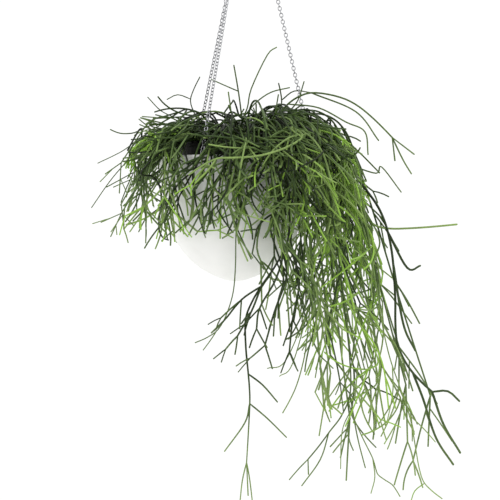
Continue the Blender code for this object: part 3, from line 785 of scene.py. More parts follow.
def turned(direction, axis, degrees):
    angle = math.radians(degrees)
    return (direction * math.cos(angle) + np.cross(axis, direction) * math.sin(angle)
            + axis * np.dot(axis, direction) * (1 - math.cos(angle)))


# %% Copy the link down a chain
def fine_chain(name, azimuth, slot):
    """Links from the ring to the hook, each about a quarter turn from its neighbour"""
    high_end, low_end, up = chain_ends(azimuth, slot, FINE_WIRE, FINE_TOUCH)
    length = np.linalg.norm(high_end - low_end)
    overlap = 2 * FINE_WIRE + 2 * FINE_TOUCH
    count = round((length - overlap) / FINE_PITCH)
    pitch = (length - overlap) / count
    half = (pitch + overlap) / 2
    across_ring = np.array((1.0, 0, 0))
    first = unit(across_ring - up * np.dot(across_ring, up))
    last = unit(radial(azimuth) - up * np.dot(radial(azimuth), up))
    wanted = math.degrees(math.atan2(np.dot(np.cross(first, last), up), np.dot(first, last)))
    # Plain quarter turns would miss the hook by this angle, so every link takes a share of it
    spare = (wanted - 90 * (count - 1) + 90) % 180 - 90
    turn = 90 + spare / (count - 1)
    pattern = make_link(half)
    links = []
    for i in range(count):
        link = bpy.data.objects.new("link", pattern.data.copy())
        bpy.context.scene.collection.objects.link(link)
        facing = turned(first, up, turn * i)
        width = np.cross(facing, up)
        middle = high_end - up * (half + i * pitch)
        link.matrix_world = Matrix([[*row, place] for row, place in
                                    zip(np.column_stack([width, facing, up]), middle)] + [[0, 0, 0, 1]])
        links.append(link)
    bpy.data.objects.remove(pattern)
    chain = join_pieces(links)
    name_piece(chain, name)
    settle(chain)
    print(name, "has", count, "links, one every", round(pitch / MM, 2), "mm")
    return chain


# %% Hang the chains
for name, (azimuth, slot) in CHAINS.items():
    chain = fine_chain("fine_chain_" + name, azimuth, slot)
    finish_piece(chain, steel, "steel", "chain_" + name)

# %% [markdown]
# ## The wire hooks
#
# A small closed loop of wire goes through each hole and over the rim, and the last link hangs in
# it. It could be built from straight and curved rods, but bent wire is one line with a thickness,
# and so is a curve with a bevel. The stems of the plant are made in the same way further down.

# %% Smooth lines through points
def catmull(points, count):
    """A smooth line through points, with count spans between each pair"""
    padded = [2 * points[0] - points[1], *points, 2 * points[-1] - points[-2]]
    line = [points[0]]
    for i in range(1, len(padded) - 2):
        p0, p1, p2, p3 = padded[i - 1:i + 3]
        for k in range(1, count + 1):
            t = k / count
            line.append(0.5 * (2 * p1 + (p2 - p0) * t + (2 * p0 - 5 * p1 + 4 * p2 - p3) * t * t
                               + (3 * p1 - p0 - 3 * p2 + p3) * t ** 3))
    return line


# %% Curves that become wires and stems
def tube_piece(name, lines, sides, closed=False):
    """Lines of points and radii as tubes with round or joined ends, made a mesh"""
    curve = bpy.data.curves.new(name, "CURVE")
    curve.dimensions = "3D"
    curve.use_fill_caps = True
    curve.bevel_depth = MM
    # A round bevel has four sides, and two more for each step of its resolution
    curve.bevel_resolution = sides // 2 - 2
    for points, radii in lines:
        spline = curve.splines.new("POLY")
        spline.use_cyclic_u = closed
        spline.points.add(len(points) - 1)
        spline.points.foreach_set("co", np.column_stack([points, np.ones(len(points))]).ravel())
        spline.points.foreach_set("radius", np.asarray(radii) / MM)
    piece = bpy.data.objects.new(name, curve)
    bpy.context.scene.collection.objects.link(piece)
    select_only(piece)
    bpy.ops.object.convert(target="MESH")
    piece = bpy.context.active_object
    name_piece(piece, name)
    weld(piece)
    return piece


# %% Bend the hooks
HOOK_SIDES = 8
HOOK_SPANS = 4

for name, (azimuth, _) in CHAINS.items():
    path = hook_path(azimuth)
    wire = catmull([*path, path[0]], HOOK_SPANS)[:-1]
    hook = tube_piece("wire_hook_" + name, [(wire, [HOOK_WIRE] * len(wire))], HOOK_SIDES, closed=True)
    finish_piece(hook, steel, "steel", "hook_" + name)

# %% [markdown]
# ## How the plant grows
#
# A plant could be modelled stem by stem, but it has hundreds. It could also be a particle system,
# but then nobody could say where a stem is. Here a rule grows it, with seeded random numbers, so
# that it is the same plant every time. A few stems that stand out to the eye are given one by one
# first. This is the same rule, with the same seeds, that made the stems of the solid model.

# %% Stems given one by one
# As (x, y, height over the rim) from the bowl's axis in mm. Each trunk rises from the soil. Each
# branch starts at the trunk point with the number that leads it.
CHOSEN_STEMS = {
    "arch_right": {
        "trunk": [(40, -20), (52, -24, 44), (64, -26, 64), (93, -28, 79), (137, -30, 71),
                  (168, -31, 50), (196, -32, 22)],
        "branches": [(7, (198, -33, -6)), (7, (208, -30, -4), (219, -27, -22)), (7, (222, -40, 2)),
                     (3, (103, -40, 60), (137, -46, 42), (160, -50, 30), (164, -52, 1)),
                     (4, (150, -18, 56), (179, -10, 20))],
    },
    "light_run": {
        "trunk": [(48, -6), (70, -4, 36), (112, -2, 34), (142, -4, -8), (156, -6, -55),
                  (174, -8, -85), (215, -10, -89), (277, -12, -84)],
        "branches": [(4, (176, 4, -20), (183, 6, -12), (208, 8, -44)), (5, (172, -22, -104))],
    },
    "dark_edge": {
        "trunk": [(51, -20), (84, -38, 40), (120, -46, 20), (148, -54, -24), (174, -64, -60),
                  (187, -64, -91), (194, -64, -129), (197, -64, -179), (199, -64, -229),
                  (217, -62, -265), (244, -60, -292)],
        "branches": [(11, (262, -58, -290), (277, -56, -303)), (11, (256, -66, -330), (277, -70, -366)),
                     (10, (232, -50, -300), (248, -48, -348), (270, -46, -382)),
                     (6, (212, -58, -138), (229, -56, -135)), (7, (206, -78, -206), (221, -82, -240))],
    },
    "dark_group": {
        "trunk": [(20, -44), (38, -86, 34), (62, -118, -20), (64, -122, -104), (33, -126, -158),
                  (13, -128, -200), (16, -127, -264), (18, -126, -300), (14, -125, -375)],
        "branches": [(5, (8, -134, -176), (-11, -138, -199)), (5, (20, -138, -190), (3, -142, -220)),
                     (4, (50, -134, -150), (30, -138, -186), (26, -140, -212)),
                     (4, (62, -130, -150), (48, -134, -190), (36, -138, -232)),
                     (4, (78, -118, -150), (70, -116, -200), (66, -114, -240)),
                     (8, (12, -128, -325), (-13, -132, -360)), (8, (39, -120, -320), (63, -114, -344)),
                     (7, (34, -122, -280), (52, -118, -301)), (9, (9, -126, -395), (6, -128, -422)),
                     (9, (16, -124, -414)), (9, (18, -120, -395), (22, -118, -429))],
    },
    "thin_left": {
        "trunk": [(-6, -46), (-4, -84, 34), (0, -112, 4), (2, -112, -60), (1, -110, -104),
                  (-2, -108, -166), (-20, -108, -212), (-49, -108, -229)],
        "branches": [(7, (-30, -112, -226), (-39, -114, -238))],
    },
    "low_fork": {
        "trunk": [(44, -34), (72, -62, 40), (104, -84, 10), (120, -88, -80), (134, -86, -190),
                  (141, -84, -290), (116, -82, -338), (88, -80, -374)],
        "branches": [(8, (78, -79, -384), (66, -78, -398)), (8, (90, -74, -392)),
                     (6, (150, -74, -345), (160, -70, -384)), (7, (104, -92, -372), (81, -98, -404)),
                     (5, (150, -98, -232), (158, -104, -262))],
    },
    "crown_mid": {
        "trunk": [(6, -6), (8, -8, 44), (4, -9, 80), (-2, -10, 115)],
        "branches": [(2, (15, -2, 62), (20, 0, 86), (40, 2, 128), (52, 3, 138)),
                     (3, (-10, -6, 88), (-30, -4, 97)), (2, (24, -16, 66), (44, -20, 80), (68, -22, 86))],
    },
    "crown_left": {
        "trunk": [(-34, -8), (-44, -10, 40), (-56, -12, 70), (-44, -13, 100)],
        "branches": [(2, (-66, -20, 46), (-91, -26, 56), (-109, -28, 74)),
                     (3, (-72, -2, 78), (-86, 2, 72)),
                     (2, (-72, -24, 34), (-104, -34, 28), (-136, -38, -8), (-156, -40, -32),
                      (-178, -42, -64)),
                     (2, (-74, -6, 38), (-112, -8, 28), (-140, -9, 8), (-172, -10, -8))],
    },
    "crown_right": {
        "trunk": [(44, 14), (52, 16, 42), (58, 18, 70), (54, 19, 94)],
        "branches": [(2, (66, 4, 56), (78, -2, 71), (86, -3, 95)), (3, (74, 26, 84), (96, 30, 82))],
    },
}

# %% Groups of stems that grow by rule
# Angles are in degrees and lengths in mm, as (least, most). azimuth: way that they leave the soil;
# root: distance of the root from the bowl's axis; lift and fall: slope at the root and past the
# arch; rise: straight length before the arch; bend: length of the arch; settle: way that they
# drift once they hang; nodes: distance between forks; first: length of stem before the first fork;
# spread: angle of a fork
STEM_GROUPS = {
    "cascade": {"count": 10, "seed": 11, "azimuth": (-40, 46), "root": (32, 60), "lift": (46, 72),
                "rise": (0, 18), "fall": (-86, -68), "bend": (80, 142), "length": (330, 530),
                "settle": (-26, 30), "nodes": (60, 92), "side": (44, 88), "twig": (26, 52),
                "first": 130, "spread": 30},
    "veil": {"count": 5, "seed": 66, "azimuth": (-78, -34), "root": (38, 60), "lift": (56, 80),
             "rise": (0, 22), "fall": (-88, -78), "bend": (80, 120), "length": (250, 430),
             "settle": (-50, 5), "nodes": (54, 82), "side": (36, 68), "twig": (22, 42),
             "first": 110, "spread": 30},
    "left": {"count": 8, "seed": 22, "azimuth": (146, 208), "root": (34, 60), "lift": (30, 60),
             "rise": (0, 14), "fall": (-72, -46), "bend": (50, 90), "length": (115, 175),
             "settle": None, "nodes": (36, 54), "side": (26, 48), "twig": (14, 30),
             "first": 70, "spread": 36},
    "front": {"count": 8, "seed": 33, "azimuth": (208, 294), "root": (34, 60), "lift": (36, 66),
              "rise": (0, 16), "fall": (-84, -58), "bend": (60, 96), "length": (130, 195),
              "settle": None, "nodes": (36, 54), "side": (26, 48), "twig": (14, 30),
              "first": 70, "spread": 36},
    "back": {"count": 6, "seed": 44, "azimuth": (56, 144), "root": (34, 60), "lift": (36, 66),
             "rise": (0, 20), "fall": (-88, -70), "bend": (66, 104), "length": (150, 225),
             "settle": None, "nodes": (36, 52), "side": (26, 48), "twig": (14, 30),
             "first": 74, "spread": 36},
    "crown": {"count": 4, "seed": 55, "azimuth": (20, 340), "root": (10, 50), "lift": (34, 60),
              "rise": (4, 22), "fall": (-48, -4), "bend": (60, 100), "length": (80, 125),
              "settle": None, "nodes": (30, 44), "side": (22, 38), "twig": (12, 26),
              "first": 44, "spread": 36},
}


# %% Ways that a stem may go
# A random direction is only used if it lies further than this from the stem's own
LEAST_SINE = 0.2


def heading(azimuth, elevation):
    rise = math.radians(elevation)
    return radial(azimuth) * math.cos(rise) + np.array((0, 0, math.sin(rise)))


def side_axis(rng, direction):
    """A random direction square to this one"""
    while True:
        trial = np.array([rng.gauss(0, 1) for _ in range(3)])
        axis = np.cross(direction, trial)
        if np.linalg.norm(axis) > LEAST_SINE:
            return unit(axis)


def between(limits, share):
    return limits[0] + (limits[1] - limits[0]) * share


def ease(t):
    t = min(max(t, 0.0), 1.0)
    return t * t * (3 - 2 * t)


# %% [markdown]
# ### Room to grow
#
# Real stems push one another aside. A physics simulation could do that, but then every stem would
# end somewhere else than where the rule sent it. Here each new stem is measured against the pots,
# the chains and all the stems before it, and is grown anew if it would touch.

# %% Keep stems off the pots
UNDER_BOWL = -3 * MM
OFF_BOWL = 2 * MM
OFF_NURSERY_POT = MM


def pots_block(point, radius, outline):
    """True where a stem of this radius would meet the bowl, the nursery pot or the soil"""
    out = math.hypot(point[0] - BOWL_X, point[1])
    height = point[2] - BOWL_BASE_Z
    if height < UNDER_BOWL:
        return False
    wall = np.interp(height, outline[:, 1], outline[:, 0])
    if height < BOWL_HEIGHT + radius + OFF_BOWL and out < wall + radius + OFF_BOWL:
        return True
    over_lip = abs(out - NURSERY_RIM_RADIUS) < 2 * NURSERY_LIP + radius
    if height < NURSERY_TOP + radius + OFF_NURSERY_POT and over_lip:
        return True
    return out < NURSERY_RIM_RADIUS and height < SOIL_TOP + SOIL_CROWN + radius + OFF_NURSERY_POT


# %% Keep stems off the chains and one another
STEM_CLEARANCE = 0.6 * MM
# The distance between the points of a new stem that are measured
PROBE = 1.5 * MM
# Keeps a stretch of no length from dividing by nothing
LEAST_SQUARE = 1e-12


class Clearance:
    """Every stretch of stem, chain and hook placed so far, which a new stem keeps off"""

    def __init__(self):
        self.starts = np.zeros((0, 3))
        self.ends = np.zeros((0, 3))
        self.radii = np.zeros(0)
        self.owners = np.zeros(0, dtype=int)
        self.outline = bowl_outline()

    def add(self, points, radius, owner):
        points = np.asarray(points)
        self.starts = np.vstack([self.starts, points[:-1]])
        self.ends = np.vstack([self.ends, points[1:]])
        self.radii = np.append(self.radii, np.full(len(points) - 1, radius))
        self.owners = np.append(self.owners, np.full(len(points) - 1, owner))

    def allows(self, points, radius, owner, rooted=False):
        others = self.owners != owner
        starts = self.starts[others]
        along = self.ends[others] - starts
        squared = np.maximum((along * along).sum(1), LEAST_SQUARE)
        limit = self.radii[others] + radius + STEM_CLEARANCE
        for i, (a, b) in enumerate(zip(points[:-1], points[1:])):
            count = max(2, int(np.linalg.norm(b - a) / PROBE) + 1)
            for k in range(count + 1):
                p = a + (b - a) * k / count
                if not (rooted and i == 0) and pots_block(p, radius, self.outline):
                    return False
                if len(starts):
                    t = np.clip(((p - starts) * along).sum(1) / squared, 0, 1)
                    if (np.linalg.norm(starts + along * t[:, None] - p, axis=1) < limit).any():
                        return False
        return True


# %% [markdown]
# ### One stem with its side shoots
#
# A stem grows upwards out of the soil, and bends over by its own weight as it gets longer. So it is
# walked in small steps, each turned down a little more than the last, and it drifts to one side as
# it goes. Shoots spring from its side once it is long enough, two of them at its tip, and each of
# them bears one twig.

# %% Roots in the soil
ROOT_DEPTH = 10 * MM
# How far every stem stands straight up from the soil
FOOT_HEIGHT = 6 * MM


def over_rim(x, y, height):
    return np.array((BOWL_X + x * MM, y * MM, BOWL_RIM_Z + height * MM))


def root_points(x, y):
    foot = np.array((x, y, SOIL_Z - ROOT_DEPTH))
    return [foot, foot + np.array((0, 0, ROOT_DEPTH + FOOT_HEIGHT))]


# %% Walk a stem over the rim
STEP = 4 * MM
# The distance between the points that are kept on the arch, and twice that once the stem hangs,
# which it does from this many lengths of the arch on
SPAN = 22 * MM
HANGS_FROM = 1.1
# A stem drifts to its settled way from this share of the arch on
DRIFTS_FROM = 0.5
SWAY = 14
SWAY_LENGTH = 60 * MM
# How far a stem may leave its place in the group, as a share of it, and its root to the side
PART_SCATTER = 0.09
ROOT_SCATTER = 25
# How much of the slope at which a stem hangs comes from the length of its arch; chance gives the rest
FALL_BY_REACH = 0.75


def arching_stem(rng, group, part):
    """Centre line of a stem that rises from the soil, arches over the rim and hangs"""
    azimuth = between(group["azimuth"], part + rng.uniform(-PART_SCATTER, PART_SCATTER))
    root_radius = rng.uniform(*group["root"]) * MM
    scatter = group.get("scatter", ROOT_SCATTER)
    root_angle = azimuth + rng.uniform(-scatter, scatter)
    lift = rng.uniform(*group["lift"])
    rise = rng.uniform(*group["rise"]) * MM
    reach = rng.random()
    bend = between(group["bend"], reach) * MM
    fall = between(group["fall"], FALL_BY_REACH * reach + (1 - FALL_BY_REACH) * rng.random())
    length = rng.uniform(*group["length"]) * MM
    settle_at = rng.uniform(*group["settle"]) if group["settle"] else azimuth
    sway = rng.uniform(-SWAY, SWAY)
    spot = radial(root_angle) * root_radius
    points = root_points(BOWL_X + spot[0], spot[1])
    place_at = points[-1]
    travelled = 0.0
    since = 0.0
    while travelled < length:
        part_bent = (travelled - rise) / bend
        elevation = lift + (fall - lift) * ease(part_bent)
        drift = (settle_at - azimuth) * ease(part_bent - DRIFTS_FROM)
        way = azimuth + drift + sway * math.sin(travelled / SWAY_LENGTH)
        place_at = place_at + heading(way, elevation) * STEP
        travelled += STEP
        since += STEP
        span = SPAN if part_bent < HANGS_FROM else 2 * SPAN
        if since > span - STEP / 2:
            points.append(place_at)
            since = 0.0
    return points


# %% One spray of stems
# By how often the stem has forked
STEM_RADII = (1.7 * MM, 1.35 * MM, 1.15 * MM)


class Spray:
    """One group of stems that stands for a single node, as a list of (order, points)"""

    def __init__(self, owner, clearance):
        self.owner = owner
        self.clearance = clearance
        self.pieces = []

    def add(self, order, points):
        self.clearance.add(points, STEM_RADII[order], self.owner)
        self.pieces.append((order, points))

    def add_if_clear(self, order, points):
        clear = self.clearance.allows(points, STEM_RADII[order], self.owner, rooted=order == 0)
        if clear:
            self.add(order, points)
        return clear


# %% Side shoots
LONG_SHOOT = 42 * MM
FORK_TRIES = 8
# How far a shoot may turn round its stem, how much further each try turns it, both in degrees, and
# the share of the group's angle that it forks at
TURN_SCATTER = 35
TURN_STEP = 40
SPREAD_SHARES = (0.7, 1.35)


def shoot(start, direction, length, sag):
    """A short stem that starts in another one and bends down by its sag"""
    points = [start]
    spans = 2 if length > LONG_SHOOT else 1
    for _ in range(spans):
        direction = unit(direction + np.array((0, 0, -sag)))
        points.append(points[-1] + direction * length / spans)
    return points, direction


def fork(rng, spray, order, start, direction, turn, spread, length, sag):
    """Try a few directions for a shoot, keep the first that is clear, and return it with its way"""
    axis = side_axis(rng, direction)
    for attempt in range(FORK_TRIES):
        to_side = turn + rng.uniform(-TURN_SCATTER, TURN_SCATTER) + TURN_STEP * attempt
        around = turned(axis, direction, to_side)
        leaning = turned(direction, around, spread * rng.uniform(*SPREAD_SHARES))
        points, way = shoot(start, leaning, rng.uniform(*length) * MM, sag)
        if spray.add_if_clear(order, points):
            return points, way
    return None


# %% Fork along a stem
TIP_INSET = 2 * MM
TWIG_SPREAD = 32
HANGING_SAG = 0.16
TWIG_SAG = 0.05


def add_side_shoots(rng, spray, line, group):
    """Side shoots along a main stem, two of them at its tip, each with a twig of its own"""
    travelled = 0.0
    next_fork = group["first"] * MM
    sag = 0.0 if group["fall"][1] > 0 else HANGING_SAG
    for i in range(1, len(line)):
        span = np.linalg.norm(line[i] - line[i - 1])
        travelled += span
        last = i == len(line) - 1
        if travelled < next_fork and not last:
            continue
        next_fork = travelled + rng.uniform(*group["nodes"]) * MM
        direction = unit(line[i] - line[i - 1])
        start = line[i] - direction * (TIP_INSET if last else span / 2)
        for k in range(2 if last else 1):
            side = fork(rng, spray, 1, start, direction, 180 * k, group["spread"], group["side"], sag)
            if side:
                points, way = side
                fork(rng, spray, 2, (points[0] + points[1]) / 2, way, 180, TWIG_SPREAD, group["twig"],
                     TWIG_SAG)


# %% Grow a chosen stem or one by rule
TRIES = 120
TRUNK_SPANS = 2


def grow_chosen(stem, spray):
    """One of the listed stems"""
    x, y = stem["trunk"][0]
    root = root_points(BOWL_X + x * MM, y * MM)
    way_points = [root[1]] + [over_rim(*point) for point in stem["trunk"][1:]]
    line = [root[0]] + catmull(way_points, TRUNK_SPANS)
    spray.add(0, line)
    for leads, *points in stem["branches"]:
        joint = TRUNK_SPANS * (leads - 1) + 1
        following = line[joint + 1] if joint + 1 < len(line) else line[joint - 1]
        start = line[joint] + unit(following - line[joint]) * TIP_INSET
        spray.add(1, [start] + [over_rim(*point) for point in points])


def grow_by_rule(rng, group, part, spray):
    """A stem with its side shoots; the spray stays empty where there is no room for one"""
    for _ in range(TRIES):
        line = arching_stem(rng, group, part)
        if spray.add_if_clear(0, line):
            add_side_shoots(rng, spray, line, group)
            return


# %% Grow the stems of the solid model
def fixed_clearance():
    clearance = Clearance()
    for azimuth, slot in CHAINS.values():
        high_end, low_end, _ = chain_ends(azimuth, slot, LINK_WIRE, TOUCH)
        clearance.add([high_end, low_end], LINK_HALF_WIDTH + LINK_WIRE, -1)
        clearance.add(hook_path(azimuth), HOOK_WIRE, -1)
    return clearance


def grow_plant():
    """All the stems, as a dictionary of spray name to its list of (order, points)"""
    clearance = fixed_clearance()
    sprays = {}
    for name, stem in CHOSEN_STEMS.items():
        spray = Spray(len(sprays), clearance)
        grow_chosen(stem, spray)
        sprays["spray_" + name] = spray.pieces
    for name, group in STEM_GROUPS.items():
        rng = random.Random(group["seed"])
        for i in range(group["count"]):
            spray = Spray(len(sprays), clearance)
            grow_by_rule(rng, group, (i + 0.5) / group["count"], spray)
            if spray.pieces:
                sprays["spray_%s_%d" % (name, i + 1)] = spray.pieces
    return sprays


sprays = grow_plant()
print(len(sprays), "sprays grown, the same as in the frame:", set(sprays) <= set(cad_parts))

# %% [markdown]
# ## From rule to stems
#
# The solids have few sides and few twigs. Real stems are 2 to 3 mm thick, round and blunt, and end
# in whorls: a few twigs spring from one point, and some of them fork again. Each line of the rule is
# made smooth, thinned towards its tip and rounded there. Each tube then carries two numbers at
# every point, which its colour is made from: its age, from old at the root to young at the tip, and
# its tone, which differs a little from stem to stem.

# %% Fine lines
FINE_RADII = (1.4 * MM, 1.25 * MM, 1.1 * MM, 0.9 * MM)
FINE_SPAN = 6 * MM
TAPER = 0.84
# A side shoot is this much thinner where it leaves its stem
FOOT_SHARE = 0.8
# A blunt tip has two more rings of points, this many radii before its end, and the last two are
# narrower by these shares
TIP_BACK = (0.9, 0.3)
TIP_WIDTHS = (0.82, 0.4)
# A stem grows at its tip, so it is younger the further it is from the soil, and so are its forks
REACH_SHARE = 0.6
FURTHEST = 480 * MM
AGES = ((0.0, 0.1), (0.1, 0.25), (0.2, 0.4), (0.3, 0.5))
SOIL_MIDDLE = np.array((BOWL_X, 0, SOIL_Z))


def fine_line(points, order, tone, girth=1.0):
    """Points, radii, ages and tones of a smooth stem with a blunt tip"""
    span = np.linalg.norm(np.diff(points, axis=0), axis=1).mean()
    line = np.array(catmull(points, max(1, round(span / FINE_SPAN)) if len(points) > 2 else 1))
    foot = FINE_RADII[order] * girth
    radius = foot * TAPER
    way = unit(line[-1] - line[-2])
    tip = line[-1]
    line = np.vstack([line[:-1], *[tip - way * back * radius for back in TIP_BACK], tip])
    share = np.linspace(0, 1, len(line))
    radii = foot * (1 - (1 - TAPER) * share)
    radii[-2:] = [radius * width for width in TIP_WIDTHS]
    if order:
        radii[0] *= FOOT_SHARE
    reach = np.linalg.norm(line - SOIL_MIDDLE, axis=1) / FURTHEST
    return line, radii, REACH_SHARE * reach + between(AGES[order], share), tone


# %% [markdown]
# ### The outline of the plant
#
# The fine stems fill the plant out, but its shape has to stay. They could be grown freely and cut
# off at the edge, and cut stems look like a hedge. So each one is tested against the outline that
# the plant has from the front, and a stem that would leave it is grown anew. A few may rise over
# the top a little, because a real plant has no sharp edge.

# %% Where fine stems may grow
BOX_MARGIN = 3 * MM
BOWL_OUTLINE = bowl_outline()
BOX_LOW = np.array(cad_box[0]) - BOX_MARGIN
BOX_HIGH = np.array(cad_box[1]) + BOX_MARGIN
# An opening in the crown, over the front of the rim, where the dark soil shows: an ellipse as
# (x, height over the rim) from the bowl's axis and its half sizes, in mm, from the front to its depth
GAP_MIDDLE = (-51, 9)
GAP_SIZE = (13, 12)
GAP_DEPTH = 10
# The plant's outline from the front, as (x, height over the rim) from the bowl's axis in mm
FRONT_OUTLINE = [(-136, -46), (-139, -12), (-134, 6), (-120, 18), (-105, 28), (-84, 34), (-50, 37),
                 (0, 42), (60, 47), (92, 50), (116, 40), (138, 20), (152, -6), (163, -36),
                 (177, -90), (187, -150), (193, -220), (208, -290), (242, -360), (272, -430),
                 (176, -430), (136, -365), (100, -300), (66, -235), (28, -190), (6, -110),
                 (-30, -100), (-70, -108), (-100, -118), (-132, -112), (-150, -92), (-142, -66)]
# The greatest height over the rim by distance from front to back
SIDE_CEILING = [(-165, -20), (-130, 18), (-90, 46), (-40, 60), (40, 60), (90, 46), (130, 18), (165, -20)]
# Stems may rise over the outline above this height over the rim, in mm, and not below it
OUTLINE_TOP = -40
# Keeps a level edge of the outline from dividing by nothing
LEAST_RISE = 1e-9


# %% Test a line against the outline
def inside_outline(points, slack):
    """True where points lie within the plant's outline, or less than the slack over its top"""
    x = (points[:, 0] - BOWL_X) / MM
    height = (points[:, 2] - BOWL_RIM_Z) / MM - slack
    inside = np.zeros(len(points), dtype=bool)
    for (x0, h0), (x1, h1) in zip(FRONT_OUTLINE, FRONT_OUTLINE[1:] + FRONT_OUTLINE[:1]):
        level = np.where(height < OUTLINE_TOP, height + slack, height)
        crosses = (level < h0) != (level < h1)
        inside ^= crosses & (x < x0 + (level - h0) * (x1 - x0) / (h1 - h0 + LEAST_RISE))
    ceiling = np.interp(points[:, 1] / MM, *zip(*SIDE_CEILING))
    return inside & (height < ceiling)


def in_gap(points):
    """True for each point in the opening in the crown"""
    x = ((points[:, 0] - BOWL_X) / MM - GAP_MIDDLE[0]) / GAP_SIZE[0]
    height = ((points[:, 2] - BOWL_RIM_Z) / MM - GAP_MIDDLE[1]) / GAP_SIZE[1]
    return (x * x + height * height < 1) & (points[:, 1] < GAP_DEPTH * MM)


def has_room(points, radius, slack, rooted=False):
    """True for a line in the box and the outline, and clear of the pots and the opening

    With no slack at all, as for the stems that hang apart, the outline isn't asked for.
    """
    points = np.asarray(points)[1 if rooted else 0:]
    if (points < BOX_LOW).any() or (points > BOX_HIGH).any():
        return False
    if in_gap(points).any():
        return False
    if slack is not None and not inside_outline(points, slack).all():
        return False
    middles = (points[1:] + points[:-1]) / 2
    return not any(pots_block(p, radius, BOWL_OUTLINE) for p in [*points, *middles])


# %% [markdown]
# ### Twigs in whorls
#
# New twigs spring from the tip of an old one, up to four at a time, and spread like the ribs of an
# umbrella. One habit for all would look like wallpaper, so there are six, and each part of the
# plant has the one that comes nearest to the photograph there.

# %% Habits of growth
# Three values stand for the first, second and third time that a stem forks. count: twigs in a
# whorl, one of these by chance; length in mm; spread: angle to the stem, in degrees; curl: how far
# 50 mm of a twig may bend, in degrees; again: chance that a twig forks once more; sag: how much it
# bends down
HABITS = {
    "tangled": {"count": ((1, 1, 2), (1, 2), (2, 2)), "length": ((40, 90), (28, 56), (14, 30)),
                "spread": (12, 50), "curl": 110, "again": (0.4, 0.1, 0), "sag": 0.04},
    "bushy": {"count": ((2, 3), (2, 3), (2, 2)), "length": ((22, 40), (22, 38), (14, 24)),
              "spread": (14, 42), "curl": 30, "again": (0.5, 0.25, 0), "sag": 0.06},
    "trailing": {"count": ((1, 2), (2, 2, 3), (2, 3)), "length": ((50, 110), (40, 84), (20, 46)),
                 "spread": (14, 46), "curl": 52, "again": (0.4, 0.15, 0), "sag": 0.12},
    "fanned": {"count": ((1, 2, 2), (2, 2, 3), (2, 2)), "length": ((32, 66), (24, 48), (16, 30)),
               "spread": (16, 44), "curl": 36, "again": (0.55, 0.2, 0), "sag": 0.03},
    "drooping": {"count": ((1, 2), (2, 2), (2, 2)), "length": ((20, 44), (16, 30), (10, 20)),
                 "spread": (14, 38), "curl": 60, "again": (0.6, 0.2, 0), "sag": 0.17},
    "tufted": {"count": ((2, 3), (3, 3, 4), (3, 4)), "length": ((16, 30), (10, 20), (7, 14)),
               "spread": (12, 40), "curl": 20, "again": (0.9, 0.6, 0), "sag": 0.03},
}

# %% Grow twigs and whorls
TWIG_PART = 9 * MM
TWIG_TRIES = 3
TWIG_TONES = (-0.08, 0.12)
# A whorl starts this far inside the tip that it springs from
WHORL_INSET = MM
WHORL_SCATTER = 25
CURL_LENGTH = 50 * MM
# A habit's sag is meant for one of three parts, and a twig shares it out over the parts that it has
SAG_PARTS = 3


def grow_twig(rng, lines, start, way, order, habit, tone, slack):
    """A curved twig that may end in a whorl of smaller ones"""
    length = rng.uniform(*habit["length"][order - 1]) * MM
    parts = max(2, round(length / TWIG_PART))
    axis = side_axis(rng, way)
    bend = rng.uniform(-1, 1) * habit["curl"] * length / CURL_LENGTH / parts
    points = [start]
    for _ in range(parts):
        way = unit(turned(way, axis, bend) + np.array((0, 0, -habit["sag"] / parts * SAG_PARTS)))
        points.append(points[-1] + way * length / parts)
    if not has_room(points, FINE_RADII[order], slack):
        return False
    lines.append(fine_line(points, order, tone + rng.uniform(*TWIG_TONES)))
    if rng.random() < habit["again"][order - 1]:
        grow_whorl(rng, lines, points[-1] - way * WHORL_INSET, way, order + 1, habit, tone, slack)
    return True


def grow_whorl(rng, lines, start, way, order, habit, tone, slack):
    """Twigs that spring from one point, spread round the way that the stem was going"""
    count = rng.choice(habit["count"][order - 1])
    axis = side_axis(rng, way)
    first = rng.uniform(0, 360)
    for k in range(count):
        for _ in range(TWIG_TRIES):
            to_side = first + 360 * k / count + rng.uniform(-WHORL_SCATTER, WHORL_SCATTER)
            around = turned(axis, way, to_side)
            leaning = turned(way, around, rng.uniform(*habit["spread"]))
            if grow_twig(rng, lines, start, leaning, order, habit, tone, slack):
                break


# %% Grow a fine stem
WANDER_FROM = 50 * MM
WAVES = (70, 130)
FIRST_FORKS = (0.7, 1.1)


def wander(rng, points, amount):
    """Push a line sideways in long waves that start from nothing at its second point"""
    line = np.array(points)
    along = np.append(0, np.cumsum(np.linalg.norm(np.diff(line, axis=0), axis=1)))
    start = np.clip((along - along[1]) / WANDER_FROM, 0, 1)
    for axis in np.eye(3):
        wave = rng.uniform(*WAVES) * MM
        phase = rng.random()
        swing = amount * MM * start * np.sin(2 * math.pi * (along / wave + phase))
        line += axis * swing[:, None]
    return list(line)


